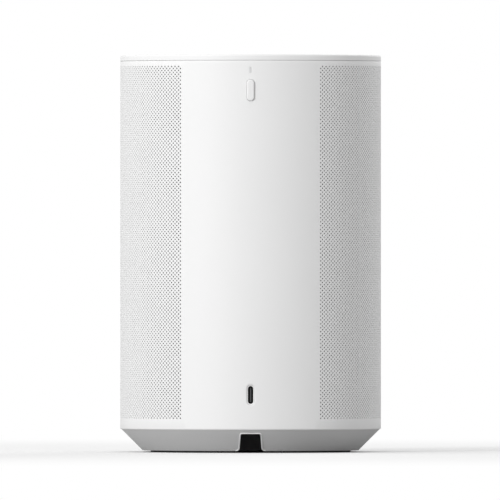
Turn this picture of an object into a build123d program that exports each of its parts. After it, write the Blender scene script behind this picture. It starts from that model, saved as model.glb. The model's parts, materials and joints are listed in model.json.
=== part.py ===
"""A compact smart speaker in an oval perforated housing, modelled piece by piece.

Millimetres, +Z up, origin at the middle of the underside.  The woofer side faces -Y.  The smooth spine,
with the pairing button, the data port and the cord notch, faces +Y.
"""

import math
import os

from build123d import *

# ---------------------------------------------------------------- overall sizes
BODY_WIDTH = 120.0  # side to side, and so the diameter of the round front and back
SIDE_STRAIGHT = 10.5  # flat run of each side between the two half circles
BODY_HEIGHT = 182.5  # floor to the top face

# ---------------------------------------------------------------- housing
SLEEVE_WALL = 2.4
SLEEVE_BOTTOM = 10.5  # height of the sleeve's lower edge
SLEEVE_EDGE_RADIUS = 0.6
COVER_RIM = 2.6  # visible height of the top cover
COVER_EDGE_RADIUS = 0.8
SEAM_GAP = 0.12  # shadow line between the cover and the sleeve
SPINE_HALF_WIDTH = 31.0  # half the chord of the smooth spine
LINER_THICKNESS = 0.4
LINER_MARGIN = 4.0  # the cloth stops this far above the sleeve's lower edge
LINER_TOP_MARGIN = 1.2  # and this far below its upper edge
SKIRT_WALL = 1.6
SKIRT_DROP = 2.3  # how far the cover's skirt reaches down into the sleeve
FIT = 0.2  # sliding clearance between nested shells
PEG_RADIUS = 2.5
PEG_X_INSET = 14.0  # from the side of the body to the cover's pegs
PEG_Y = 14.0
PEG_ENGAGEMENT = 4.5
SOCKET_WALL = 2.0

# ---------------------------------------------------------------- touch surface
GROOVE_LENGTH = 62.0
GROOVE_WIDTH = 11.0
GROOVE_DEPTH = 0.7
GROOVE_Y = -24.0
TOUCH_BOARD_INSET = 20.0
MIC_X = 30.0
MIC_Y = 26.0
MIC_HOLE_RADIUS = 0.5
TOP_LIGHT_RADIUS = 1.0
TOP_LIGHT_Y = 30.0

# ---------------------------------------------------------------- base
BASE_TOP_INSET = 0.6
BASE_TAPER = 45.0  # degrees from vertical
FOOT_PROUD = 0.8  # the rubber foot stands this far below the shell
FOOT_THICKNESS = 1.6
FOOT_INSET = 14.0
FOOT_RING_WIDTH = 8.0
RECESS_COLLAR = 2.0  # wall of the base round the cord recess and the notch
BASE_FLOOR = 2.6
BASE_WALL = 2.6
BASE_RING_WALL = 2.0
BASE_RING_HEIGHT = 3.6
NOTCH_HALF_TOP = 4.85
NOTCH_HALF_FOOT = 5.25
NOTCH_TOP = 9.0
NOTCH_TOP_RADIUS = 1.1
NOTCH_FLARE_RADIUS = 1.5
BASE_SCREW_Y = 20.0  # the screws lie under the middle of the foot

# ---------------------------------------------------------------- mains inlet
INLET_FRONT = 38.25  # from the back of the body to the front of the recess
INLET_DEPTH = 22.0  # front to back
INLET_HALF_WIDTH = 11.0
INLET_ROOF = 13.0
INLET_WALL = 1.8
SOCKET_LOBE_RADIUS = 4.2
PIN_SPACING = 8.6
PIN_RADIUS = 1.2
SOCKET_DEPTH = 12.0
PIN_LENGTH = 8.5
PIN_STUB = 1.2  # what the pins show above the socket
SOCKET_WAIST = 5.2

# ---------------------------------------------------------------- button and status light
BUTTON_LENGTH = 9.9
BUTTON_WIDTH = 3.5
BUTTON_PROUD = 1.0
BUTTON_DROP = 16.4  # from the top of the body to the button's middle
BUTTON_GAP = 0.15
BUTTON_TRAVEL = 0.8
BUTTON_FLANGE = 1.2
LENS_LENGTH = 2.9
LENS_WIDTH = 0.9
LENS_DROP = 7.1
SWITCH_BODY = (6.0, 3.0, 5.0)  # x, y and z
SWITCH_PLUNGER_RADIUS = 1.0
SWITCH_SLACK = 0.1  # left between the stem and the switch at full travel
BUTTON_BOARD = (16.0, 1.2, 19.0)

# ---------------------------------------------------------------- data port
PORT_HEIGHT = 26.6
PORT_LENGTH = 8.94
PORT_WIDTH = 3.26
PORT_SHELL = 0.3
PORT_SETBACK = 0.9  # the mouth lies this far inside the spine
PORT_BEVEL = 0.45
TONGUE_LENGTH = 6.7
TONGUE_WIDTH = 0.7

# ---------------------------------------------------------------- acoustic cabinet
CABINET_GAP = 2.2  # between the cabinet and the cloth
CABINET_WALL = 3.0
CABINET_BOTTOM = 30.0
UPPER_BAY = 54.5  # from the cabinet's roof to the top of the body
FRONT_SPACE = 31.25  # from the front of the body to the cabinet's front rim
REAR_SPACE = 27.25  # from the back of the body to the cabinet's rear face
GASKET = 0.8
BAFFLE = 4.0
BOSS_RADIUS = 3.5
SCREW_RADIUS = 1.3
SCREW_HEAD_RADIUS = 2.6
SCREW_HEAD = 1.8
BAFFLE_SCREW_X = (38.0, 20.0)
BAFFLE_SCREW_INSET = 6.0

# ---------------------------------------------------------------- woofer
FLANGE_RADIUS = 42.0
FLANGE = 2.0
CUTOUT_RADIUS = 36.5
ROLL_RADIUS = 31.5  # middle of the surround's half roll
ROLL_HALF_WIDTH = 3.05
SURROUND = 0.7
LIP = 1.5
CONE_THICKNESS = 0.8
CONE_DEPTH = 10.6
DUST_CAP_OVERHANG = 1.5
DUST_CAP_RISE = 4.0
DUST_CAP_WALL = 0.5
FORMER_RADIUS = 10.0
FORMER_WALL = 0.3
WINDING = 0.7
COIL_GAP = 0.5
WINDING_LENGTH = 9.0
BASKET_DEPTH = 24.0
SPIDER_RADIUS = 24.2
SPIDER_DEPTH = 15.0
TOP_PLATE = 4.0
TOP_PLATE_RADIUS = 20.0
MAGNET = 10.0
MAGNET_RADIUS = 23.0
MAGNET_BORE = 13.5
YOKE = 4.0
WOOFER_SCREW_CIRCLE = 39.8
WOOFER_SCREW_RADIUS = 1.1

# ---------------------------------------------------------------- tweeters
TWEETER_ANGLE = 55.0  # each one looks this far round from straight ahead
TWEETER_REACH = 50.0  # from the middle of the round front to the horn's mouth
HORN_SIZE = 34.0
HORN_DEPTH = 16.0
HORN_MOUTH_RADIUS = 15.5
HORN_THROAT_RADIUS = 10.6
HORN_THROAT_DEPTH = 10.6
DOME_RADIUS = 8.0
DOME_HEIGHT = 2.8
DOME_THICKNESS = 0.4
TWEETER_ROLL_RADIUS = 9.4
TWEETER_ROLL_HALF_WIDTH = 0.8
TWEETER_ROLL = 0.3
CUP_RADIUS = 12.4
CUP_FACE = 12.0
CUP_DEPTH = 14.0
CUP_GAP_DEPTH = 5.0

# ---------------------------------------------------------------- decks and boards
BRACKET = 3.0
POST_RADIUS = 4.0
POST_FRONT_Y = -30.0
POST_REAR = (24.0, 20.0)
UPPER_DECK = 2.5
BOARD = 1.6
AMP_BOARD_GAP = 3.0
MAIN_BOARD_SETBACK = 11.8  # from the back of the body to the main board's rear face
MAIN_BOARD_HALF_WIDTH = 25.0
MAIN_BOARD_BOTTOM = 18.0
AMP_BOARD_HALF_WIDTH = 31.0
POWER_BOARD_HEIGHT = 11.0
POWER_BOARD_HALF_WIDTH = 29.0
STANDOFF_RADIUS = 2.5
WIRE_RADIUS = 0.8
LEAD_OFFSET = 1.3  # from the middle plane to each woofer lead
GROMMET_RADIUS = 3.0
GROMMET_LIP = 1.2

# Small features of the pieces above
CUT_MARGIN = 5.0  # how far a cutter runs past the wall that it cuts
EDGE_SOFTENING = 0.7  # rounding of the button's and the capacitors' edges
TRIM_SOFTENING = 0.6  # bevels of the magnet, the pins' tips and the trim ring
NOTCH_MARGIN = 6.0
RECESS_CORNER = 1.5
FOOT_EDGE_RADIUS = 0.5
BASE_TOWER_SEAT = 6.0  # plastic over each base screw's head
BASE_SCREW_LENGTH = 13.0
INLET_RECESS_GAP = 0.2
POST_SETBACK = 8.0  # from the recess to the power board's rear posts
FLANGE_BACK = 0.3  # from the sleeve's inside to the button's flange
FLANGE_THICKNESS = 1.2
STEM_LENGTH_Z = 3.4
STEM_WIDTH = 2.4
PLUNGER_DROP = 0.9  # how far the plunger reaches into its switch
PLUNGER_GAP = 0.1
SWITCH_WELL = 0.8
LIGHT_CHIP = (1.6, 0.8)  # half its width, and its thickness
LENS_FLANGE = 1.2
LENS_BACK = 0.2
LENS_CLEARANCE = 0.9
SOCKET_BACK = 2.5  # from the main board to the data socket's floor
TONGUE_BEVEL = 0.15
BOSS_LENGTH = 12.0
BOSS_HOLE = 10.0
BASE_BOSS = 10.0
BASE_BOSS_HOLE = 8.0
BAFFLE_SCREW_GRIP = 9.0
LEAD_HOLE_RISE = 34.0  # from the woofer's axis up to the hole for its leads
GROMMET_LIP_SHARE = 0.8
DRIVE_RADIUS_SHARE = 0.42  # of a screw's head
DRIVE_DEPTH_SHARE = 0.45
WOOFER_SCREW_HEAD = (1.9, 1.2)  # radius and height
WOOFER_SCREW_SETBACK = 0.5
BASKET_LIP_OVERLAP = 0.75
BASKET_LEDGE = 2.7
BASKET_CLEARANCE = 0.3
BASKET_REAR_GAP = 0.4
BASKET_SHOULDER = (0.6, 1.5)  # out from the spider, and behind it
BASKET_WINDOW_HALF = 13.0
BASKET_WINDOW_REAR = 2.5
TRIM_RING_DEPTH = 1.3
TRIM_RING_OVERLAP = 1.2
CONE_LIP_OVERLAP = 0.3
SPIDER_WAVES = 4
SPIDER_SWING = 0.7
SPIDER_CLOTH = 0.5
SPIDER_FLAT = 1.6
YOKE_BEVEL = (1.0, 1.8, 0.8)
HORN_FLARE = 1.2
HORN_FLARE_SHARE = 0.45
HORN_RIM = 0.6
SEAT_SINK = 0.01
GAP_INSIDE = 1.2
GAP_OUTSIDE = 0.7
DOME_RIM_LIFT = 0.8
DOME_COIL_LIFT = 1.6
BRACKET_SETBACK = 17.0
DECK_SCREW_GRIP = 8.0
DECK_POST_HOLE = 9.0
BOARD_HOLE_RADIUS = 1.2
MICROPHONE_HALF = (1.9, 1.4)
MAIN_BOARD_SCREW_INSET = 3.5
MAIN_BOARD_SCREW_RISE = 24.0
MAIN_BOARD_SCREW_DROP = 6.0
SHIELD_WALL = 0.3
BIG_SHIELD = (-6.0, 8.0, 26.0, 30.0, 2.6)  # x, z over the woofer's axis, width, height, thickness
SMALL_SHIELD = (6.0, -22.0, 18.0, 16.0, 2.2)
PROCESSOR = (-6.0, 8.0, 12.0, 12.0, 1.2)
MEMORY_X = 15.0
MEMORY_STEPS = (-2.0, 14.0)
MEMORY_SIZE = (10.0, 13.0)
SPACER_RADIUS = 2.2
SPREADER_RISE = 12.0
SPREADER_HALF = (16.0, 14.0)
SPREADER_PLATE = 2.0
FIN_COUNT = 9
FIN_PITCH = 3.8
FIN_HALF = 0.6
FIN_HEIGHT = 3.6
COIL_PITCH = 12.0
COIL_DROP = 24.0
COIL_HALF = 4.5
COIL_HEIGHT = 4.6
COIL_BEVEL = 1.2
POWER_BOARD_FRONT_GAP = 8.0
POWER_BOARD_REAR_GAP = 4.0
TRANSFORMER_X = (-24.0, -2.0)
TRANSFORMER_Y = (-24.0, -10.0)
TRANSFORMER_Z = (1.0, 15.0)
WINDOW_X = (-20.5, -5.5)
WINDOW_Z = (3.5, 12.5)
WINDING_Y = (-27.0, -7.0)
BOBBIN_FEET_X = (-20.0, -6.0)
BOBBIN_FEET_Y = ((-26.5, -24.5), (-9.5, -7.5))
CAPACITORS = ((10, -28, 6.3), (22, -16, 5.0), (10, -11, 5.0))  # x, y and radius
CAPACITOR_HEIGHT = 15.0
CHOKE_PLACE = (-14.0, 8.0)
CHOKE_RADIUS = 8.5
CHOKE_BORE = 3.6
CHOKE_HEIGHT = 9.0
CHOKE_ROUNDING = 1.2
SAFETY_CAPACITOR = ((6, 24), (3, 11), (0, 13))
SAFETY_CAPACITOR_ROUNDING = 0.8
WOOFER_LEAD_REACH = 14.0
WOOFER_LEAD_RISE = 4.2
WOOFER_LEAD_BACK = 7.0
MAINS_LEAD_GAP = 7.0

# ---------------------------------------------------------------- worked out from the sizes above
END_RADIUS = BODY_WIDTH / 2
BODY_DEPTH = BODY_WIDTH + SIDE_STRAIGHT
BACK = BODY_DEPTH / 2
ARC_CENTRE = SIDE_STRAIGHT / 2
SLEEVE_TOP = BODY_HEIGHT - COVER_RIM - SEAM_GAP
COVER_BOTTOM = BODY_HEIGHT - COVER_RIM
SPINE_INSIDE = BACK - SLEEVE_WALL
LINER_INSET = SLEEVE_WALL + LINER_THICKNESS
LINER_BOTTOM = SLEEVE_BOTTOM + LINER_MARGIN
LINER_TOP = SLEEVE_TOP - LINER_TOP_MARGIN
SKIRT_INSET = LINER_INSET + FIT
PEG_X = END_RADIUS - PEG_X_INSET
BUTTON_HEIGHT = BODY_HEIGHT - BUTTON_DROP
LENS_HEIGHT = BODY_HEIGHT - LENS_DROP
CABINET_INSET = LINER_INSET + CABINET_GAP
CABINET_TOP = BODY_HEIGHT - UPPER_BAY
CABINET_FRONT = -BACK + FRONT_SPACE
CABINET_REAR = BACK - REAR_SPACE
BAFFLE_FACE = CABINET_FRONT - GASKET - BAFFLE
WOOFER_HEIGHT = (CABINET_BOTTOM + CABINET_TOP) / 2
BRACKET_TOP = CABINET_TOP + BRACKET
DECK_BOTTOM = COVER_BOTTOM - 11.9
DECK_TOP = DECK_BOTTOM + UPPER_DECK
TWEETER_HEIGHT = (BRACKET_TOP + DECK_BOTTOM) / 2
INLET_Y = BACK - INLET_FRONT
FOOT_MIDDLE = END_RADIUS - FOOT_INSET - FOOT_RING_WIDTH / 2
BASE_SCREW_X = math.sqrt(FOOT_MIDDLE**2 - (BASE_SCREW_Y - ARC_CENTRE) ** 2)
AMP_BOARD_FRONT = CABINET_REAR + AMP_BOARD_GAP
MAIN_BOARD_REAR = BACK - MAIN_BOARD_SETBACK
BUTTON_STEM_END = SPINE_INSIDE - 5.2
SWITCH_FACE = BUTTON_STEM_END - BUTTON_TRAVEL - SWITCH_SLACK
BUTTON_BOARD_REAR = SWITCH_FACE - SWITCH_BODY[1]
SIDES = {"left": -1, "right": 1}


def oval(inset):
    """The body's outline, drawn inwards by inset."""
    return SlotOverall(BODY_DEPTH - 2 * inset, BODY_WIDTH - 2 * inset, rotation=90)


def oval_block(inset, low, high):
    """A solid of the body's outline between two heights."""
    return Pos(0, 0, low) * extrude(oval(inset), amount=high - low)


def oval_ring(inset, wall, low, high):
    """A tube that follows the body's outline."""
    return oval_block(inset, low, high) - oval_block(inset + wall, low, high)


def block(x, y, z):
    """A box given by its low and high value on each axis."""
    size = [high - low for low, high in (x, y, z)]
    middle = [(high + low) / 2 for low, high in (x, y, z)]
    return Pos(*middle) * Box(*size)


def rod(radius, start, end):
    """A round bar from one point to another."""
    along = Vector(*end) - Vector(*start)
    face = Plane(origin=start, z_dir=along) * Circle(radius)
    return extrude(face, amount=along.length)


def pill(length, width, low, high, height, middle_x=0.0):
    """An upright rounded bar that runs along Y, as the button and the port do."""
    face = Plane(origin=(middle_x, low, height), x_dir=(0, 0, 1), z_dir=(0, 1, 0))
    return extrude(face * SlotOverall(length, width), amount=high - low)


def turned(*outline):
    """A solid turned about the Y axis from an outline of (radius, depth) points."""
    return revolve(make_face(Polyline(*outline, close=True)), axis=Axis.Y)


def mirrored(x, y):
    """The four points at plus and minus x and y."""
    return [(sx * x, sy * y) for sx in (-1, 1) for sy in (-1, 1)]


def group(shapes):
    """Separate solids that share one node."""
    return Compound(children=[solid for shape in shapes for solid in shape.solids()])


def in_woofer(shape):
    """Moves a shape drawn from the baffle's face at the origin to the woofer's place."""
    return Pos(0, BAFFLE_FACE, WOOFER_HEIGHT) * shape


def in_tweeter(shape, side):
    """Moves a shape drawn from the horn's mouth at the origin to one tweeter's place."""
    turn = Rot(0, 0, SIDES[side] * TWEETER_ANGLE)
    return Pos(0, -ARC_CENTRE, TWEETER_HEIGHT) * turn * Pos(0, -TWEETER_REACH, 0) * shape


# ================================================================ housing
def sleeve():
    """Outer housing: one moulded tube with the openings of the spine."""
    tube = oval_block(0, SLEEVE_BOTTOM, SLEEVE_TOP)
    lower_edge = tube.edges().group_by(Axis.Z)[0]
    tube = fillet(lower_edge, SLEEVE_EDGE_RADIUS)
    tube -= oval_block(SLEEVE_WALL, SLEEVE_BOTTOM, SLEEVE_TOP)
    through = (SPINE_INSIDE - CUT_MARGIN, BACK + CUT_MARGIN)
    tube -= pill(BUTTON_LENGTH + 2 * BUTTON_GAP, BUTTON_WIDTH + 2 * BUTTON_GAP, *through, BUTTON_HEIGHT)
    tube -= pill(LENS_LENGTH, LENS_WIDTH, *through, LENS_HEIGHT)
    tube -= pill(PORT_LENGTH + FIT, PORT_WIDTH + FIT, *through, PORT_HEIGHT)
    tube -= port_bevel()
    return tube


def port_bevel():
    """The cutter for the sloped rim round the data port."""
    mouth = Plane(origin=(0, BACK - PORT_BEVEL, PORT_HEIGHT), x_dir=(0, 0, 1), z_dir=(0, 1, 0))
    narrow = SlotOverall(PORT_LENGTH + FIT, PORT_WIDTH + FIT)
    wide = SlotOverall(PORT_LENGTH + FIT + 4 * PORT_BEVEL, PORT_WIDTH + FIT + 4 * PORT_BEVEL)
    return loft([mouth * narrow, mouth.offset(2 * PORT_BEVEL) * wide])


def acoustic_liner():
    """Cloth bonded behind the perforations, from one edge of the spine round the front to the other."""
    cloth = oval_ring(SLEEVE_WALL, LINER_THICKNESS, LINER_BOTTOM, LINER_TOP)
    spine = block((-SPINE_HALF_WIDTH + 1, SPINE_HALF_WIDTH - 1), (0, BACK), (LINER_BOTTOM, LINER_TOP))
    return cloth - spine


def top_cover():
    """Touch cover: a plate with a volume groove, microphone holes, a skirt and four pegs."""
    plate = oval_block(0, COVER_BOTTOM, BODY_HEIGHT)
    plate = fillet(plate.edges().group_by(Axis.Z)[-1], COVER_EDGE_RADIUS)
    plate -= Pos(0, GROOVE_Y, BODY_HEIGHT) * scaled_dome(GROOVE_LENGTH, GROOVE_WIDTH, GROOVE_DEPTH)
    skirt = oval_ring(SKIRT_INSET, SKIRT_WALL, COVER_BOTTOM - SKIRT_DROP, COVER_BOTTOM)
    cover = plate + skirt
    for x, y in mirrored(PEG_X, PEG_Y):
        cover += rod(PEG_RADIUS, (x, y, DECK_TOP), (x, y, COVER_BOTTOM))
    for x, y in mirrored(MIC_X, MIC_Y):
        cover -= rod(MIC_HOLE_RADIUS, (x, y, COVER_BOTTOM - 1), (x, y, BODY_HEIGHT + 1))
    cover -= rod(TOP_LIGHT_RADIUS, (0, TOP_LIGHT_Y, COVER_BOTTOM - 1), (0, TOP_LIGHT_Y, BODY_HEIGHT + 1))
    return cover


def scaled_dome(length, width, depth):
    """A shallow trough cutter with round ends, widest at its top face."""
    top = SlotOverall(length, width)
    bottom = Pos(0, 0, -depth) * SlotOverall(length - width * 0.6, width * 0.4)
    return loft([bottom, top]) + extrude(top, amount=1)


def top_light_lens():
    """Clear light window flush with the cover."""
    low = (0, TOP_LIGHT_Y, COVER_BOTTOM)
    return rod(TOP_LIGHT_RADIUS, low, (0, TOP_LIGHT_Y, BODY_HEIGHT))


def tapered_block(inset, top, bottom):
    """A block whose outline shrinks towards its lower face by the base's taper."""
    return Pos(0, 0, top) * extrude(oval(inset), amount=top - bottom, dir=(0, 0, -1), taper=BASE_TAPER)


def notch_cutter(front):
    """The cord notch, cut from front to past the back of the body, with flared feet."""
    shell_bottom = FOOT_PROUD
    outline = [
        (-NOTCH_HALF_FOOT * 3, shell_bottom - NOTCH_MARGIN),
        (NOTCH_HALF_FOOT * 3, shell_bottom - NOTCH_MARGIN),
        (NOTCH_HALF_FOOT * 3, shell_bottom),
        (NOTCH_HALF_FOOT, shell_bottom),
        (NOTCH_HALF_TOP, NOTCH_TOP),
        (-NOTCH_HALF_TOP, NOTCH_TOP),
        (-NOTCH_HALF_FOOT, shell_bottom),
        (-NOTCH_HALF_FOOT * 3, shell_bottom),
    ]
    face = make_face(Polyline(*outline, close=True))
    crown = face.vertices().filter_by(lambda v: v.Y > NOTCH_TOP - 0.1)
    face = fillet(crown, NOTCH_TOP_RADIUS)
    foot_line = face.vertices().filter_by(lambda v: abs(v.Y - shell_bottom) < 0.1)
    feet = foot_line.filter_by(lambda v: abs(v.X) < NOTCH_HALF_FOOT * 2)
    face = fillet(feet, NOTCH_FLARE_RADIUS)
    upright = Plane(origin=(0, front, 0), x_dir=(1, 0, 0), z_dir=(0, -1, 0))
    return extrude(upright * face, amount=-(BACK + CUT_MARGIN - front))


def inlet_block(grow, low, high):
    """The rectangle of the cord recess, grown outwards by grow."""
    half = INLET_HALF_WIDTH + grow
    shape = block((-half, half), (INLET_Y - grow, INLET_Y + INLET_DEPTH + grow), (low, high))
    return fillet(shape.edges().filter_by(Axis.Z), RECESS_CORNER + grow / 2)


def base_shell():
    """Tapered dish under the sleeve, with the cord notch, the recess opening and four screw towers."""
    bottom = FOOT_PROUD
    dish = tapered_block(BASE_TOP_INSET, SLEEVE_BOTTOM, bottom)
    dish = fillet(dish.edges().group_by(Axis.Z)[0], FOOT_EDGE_RADIUS)
    dish -= tapered_block(BASE_TOP_INSET + BASE_WALL, SLEEVE_BOTTOM, bottom + BASE_FLOOR)
    ring_inset = SLEEVE_WALL + FIT
    dish += oval_ring(ring_inset, BASE_RING_WALL, SLEEVE_BOTTOM - 1, SLEEVE_BOTTOM + BASE_RING_HEIGHT)
    for x, y in mirrored(BASE_SCREW_X, BASE_SCREW_Y):
        dish += rod(BOSS_RADIUS + 1, (x, y, bottom + 1), (x, y, CABINET_BOTTOM))
        dish -= rod(SCREW_HEAD_RADIUS + FIT, (x, y, 0), (x, y, CABINET_BOTTOM - BASE_TOWER_SEAT))
        dish -= rod(SCREW_RADIUS + FIT, (x, y, 0), (x, y, CABINET_BOTTOM))
    for x, y in board_posts():
        dish += rod(STANDOFF_RADIUS, (x, y, bottom + 1), (x, y, POWER_BOARD_HEIGHT))
    collar = inlet_block(INLET_WALL + RECESS_COLLAR, bottom, INLET_ROOF)
    collar += block(
        (-NOTCH_HALF_FOOT - RECESS_COLLAR, NOTCH_HALF_FOOT + RECESS_COLLAR),
        (INLET_Y + INLET_DEPTH, BACK),
        (bottom, NOTCH_TOP + RECESS_COLLAR / 2),
    )
    dish += collar & (tapered_block(BASE_TOP_INSET, SLEEVE_BOTTOM, bottom) + above_dish())
    dish -= inlet_block(INLET_WALL, 0, INLET_ROOF)
    dish -= foot_ring(FOOT_INSET - FIT, FOOT_RING_WIDTH + 2 * FIT, FOOT_THICKNESS)
    return dish - notch_cutter(INLET_Y + INLET_DEPTH)


def above_dish():
    """The room over the base, inside its locating ring."""
    return oval_block(SLEEVE_WALL + FIT, SLEEVE_BOTTOM, CABINET_BOTTOM)


def board_posts():
    """Where the power board stands on the base."""
    front = CABINET_FRONT - 4
    rear = INLET_Y - POST_SETBACK
    return [(side * (POWER_BOARD_HALF_WIDTH - 4), y) for side in (-1, 1) for y in (front, rear)]


def foot_ring(inset, width, height):
    """The foot's horseshoe, open at the cord recess."""
    ring = oval_ring(inset, width, 0, height)
    gap = INLET_HALF_WIDTH + INLET_WALL + 2
    return ring - block((-gap, gap), (0, BACK), (0, height))


def foot_pad():
    """Non-slip rubber horseshoe let into the underside."""
    return foot_ring(FOOT_INSET, FOOT_RING_WIDTH, FOOT_THICKNESS)


def inlet_housing():
    """Black cup that lines the cord recess and carries the two-lobe mains socket."""
    floor = FOOT_PROUD + INLET_RECESS_GAP
    cup = inlet_block(INLET_WALL - FIT, floor, INLET_ROOF)
    cup += inlet_block(INLET_WALL + 2, INLET_ROOF, INLET_ROOF + 2)
    cup -= inlet_block(0, floor, INLET_ROOF)
    middle = INLET_Y + INLET_DEPTH / 2
    top = INLET_ROOF + SOCKET_DEPTH
    reach = SOCKET_LOBE_RADIUS + SOCKET_WALL
    shell = SlotOverall(PIN_SPACING + 2 * reach, 2 * reach)
    cup += Pos(0, middle, INLET_ROOF) * extrude(shell, amount=SOCKET_DEPTH + SOCKET_WALL)
    figure = Pos(-PIN_SPACING / 2, 0) * Circle(SOCKET_LOBE_RADIUS)
    figure += Pos(PIN_SPACING / 2, 0) * Circle(SOCKET_LOBE_RADIUS)
    figure += Rectangle(PIN_SPACING, SOCKET_WAIST)
    cup -= Pos(0, middle, INLET_ROOF) * extrude(figure, amount=SOCKET_DEPTH)
    for x in (-PIN_SPACING / 2, PIN_SPACING / 2):
        cup -= rod(PIN_RADIUS, (x, middle, top - 1), (x, middle, top + SOCKET_WALL + 1))
    return cup - notch_cutter(INLET_Y + INLET_DEPTH - 1)


def inlet_pins():
    """The two round contact pins of the mains socket."""
    middle = INLET_Y + INLET_DEPTH / 2
    top = INLET_ROOF + SOCKET_DEPTH
    pins = []
    for x in (-PIN_SPACING / 2, PIN_SPACING / 2):
        pin = rod(PIN_RADIUS, (x, middle, top - PIN_LENGTH), (x, middle, top + SOCKET_WALL + PIN_STUB))
        pins.append(fillet(pin.edges().group_by(Axis.Z)[0], PIN_RADIUS * TRIM_SOFTENING))
    return group(pins)


# ================================================================ button, light and data port
def pair_button():
    """Pill-shaped push button with a crowned face, a retaining flange and a stem."""
    face = pill(BUTTON_LENGTH, BUTTON_WIDTH, SPINE_INSIDE - FLANGE_BACK, BACK + BUTTON_PROUD, BUTTON_HEIGHT)
    face = fillet(face.edges().group_by(Axis.Y)[-1], EDGE_SOFTENING)
    flange = pill(
        BUTTON_LENGTH + 2 * BUTTON_FLANGE,
        BUTTON_WIDTH + 2 * BUTTON_FLANGE,
        SPINE_INSIDE - FLANGE_BACK - FLANGE_THICKNESS,
        SPINE_INSIDE - FLANGE_BACK,
        BUTTON_HEIGHT,
    )
    flange_rear = SPINE_INSIDE - FLANGE_BACK - FLANGE_THICKNESS
    stem = pill(STEM_LENGTH_Z, STEM_WIDTH, BUTTON_STEM_END, flange_rear, BUTTON_HEIGHT)
    return face + flange + stem


def switch_plunger():
    """The switch's own actuator, which moves with the button."""
    low = (0, SWITCH_FACE - PLUNGER_DROP, BUTTON_HEIGHT)
    return rod(SWITCH_PLUNGER_RADIUS, low, (0, BUTTON_STEM_END, BUTTON_HEIGHT))


def tact_switch():
    """Small square push switch on the button board, hollowed for its plunger."""
    half_x, half_z = SWITCH_BODY[0] / 2, SWITCH_BODY[2] / 2
    body = block(
        (-half_x, half_x),
        (BUTTON_BOARD_REAR, SWITCH_FACE),
        (BUTTON_HEIGHT - half_z, BUTTON_HEIGHT + half_z),
    )
    body = chamfer(body.edges().filter_by(Axis.Y), 0.5)
    well = (0, BUTTON_BOARD_REAR + SWITCH_WELL, BUTTON_HEIGHT)
    return body - rod(SWITCH_PLUNGER_RADIUS + PLUNGER_GAP, well, (0, SWITCH_FACE + 1, BUTTON_HEIGHT))


def button_board_middle():
    """Height of the button board's middle, which holds both the switch and the light."""
    return (BUTTON_HEIGHT + LENS_HEIGHT) / 2 - 1


def button_board():
    """Small board behind the spine for the switch and the status light."""
    width, thickness, height = BUTTON_BOARD
    middle = button_board_middle()
    board = block(
        (-width / 2, width / 2),
        (BUTTON_BOARD_REAR - thickness, BUTTON_BOARD_REAR),
        (middle - height / 2, middle + height / 2),
    )
    emitter = block(
        (-LIGHT_CHIP[0], LIGHT_CHIP[0]),
        (BUTTON_BOARD_REAR, BUTTON_BOARD_REAR + LIGHT_CHIP[1]),
        (LENS_HEIGHT - 1, LENS_HEIGHT + 1),
    )
    return board + emitter


def status_light_lens():
    """Light guide from the emitter to the slit above the button."""
    shoulder = SPINE_INSIDE - LENS_BACK
    guide = pill(LENS_LENGTH, LENS_WIDTH, shoulder, spine_face(LENS_WIDTH / 2), LENS_HEIGHT)
    foot = pill(
        LENS_LENGTH + 1,
        LENS_WIDTH + LENS_FLANGE,
        BUTTON_BOARD_REAR + LENS_CLEARANCE,
        shoulder,
        LENS_HEIGHT,
    )
    return guide + foot


def spine_face(x):
    """How far back the spine's outer surface is at a sideways distance x from the middle."""
    return ARC_CENTRE + math.sqrt(END_RADIUS**2 - x**2)


def usb_shell():
    """Drawn metal shell of the upright data socket."""
    span = (MAIN_BOARD_REAR, BACK - PORT_SETBACK)
    outside = pill(PORT_LENGTH, PORT_WIDTH, *span, PORT_HEIGHT)
    inside = (span[0] + SOCKET_BACK, span[1] + 1)
    return outside - pill(
        PORT_LENGTH - 2 * PORT_SHELL, PORT_WIDTH - 2 * PORT_SHELL, *inside, PORT_HEIGHT
    )


def usb_tongue():
    """Contact tongue in the middle of the data socket."""
    low = MAIN_BOARD_REAR + SOCKET_BACK
    high = BACK - PORT_SETBACK - 1.0
    half_x, half_z = TONGUE_WIDTH / 2, TONGUE_LENGTH / 2
    tongue = block((-half_x, half_x), (low, high), (PORT_HEIGHT - half_z, PORT_HEIGHT + half_z))
    return chamfer(tongue.edges().group_by(Axis.Y)[-1], TONGUE_BEVEL)


# ================================================================ acoustic cabinet
def cabinet_block(inset, front, rear, low, high):
    """Part of the oval between a front and a rear plane."""
    slab = block((-BODY_WIDTH, BODY_WIDTH), (front, rear), (low, high))
    return oval_block(inset, low, high) & slab


def baffle_screw_places():
    """Sideways place and height of each baffle screw."""
    rows = (CABINET_BOTTOM + BAFFLE_SCREW_INSET, CABINET_TOP - BAFFLE_SCREW_INSET)
    return [(side * x, z) for side in (-1, 1) for x in BAFFLE_SCREW_X for z in rows]


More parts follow.
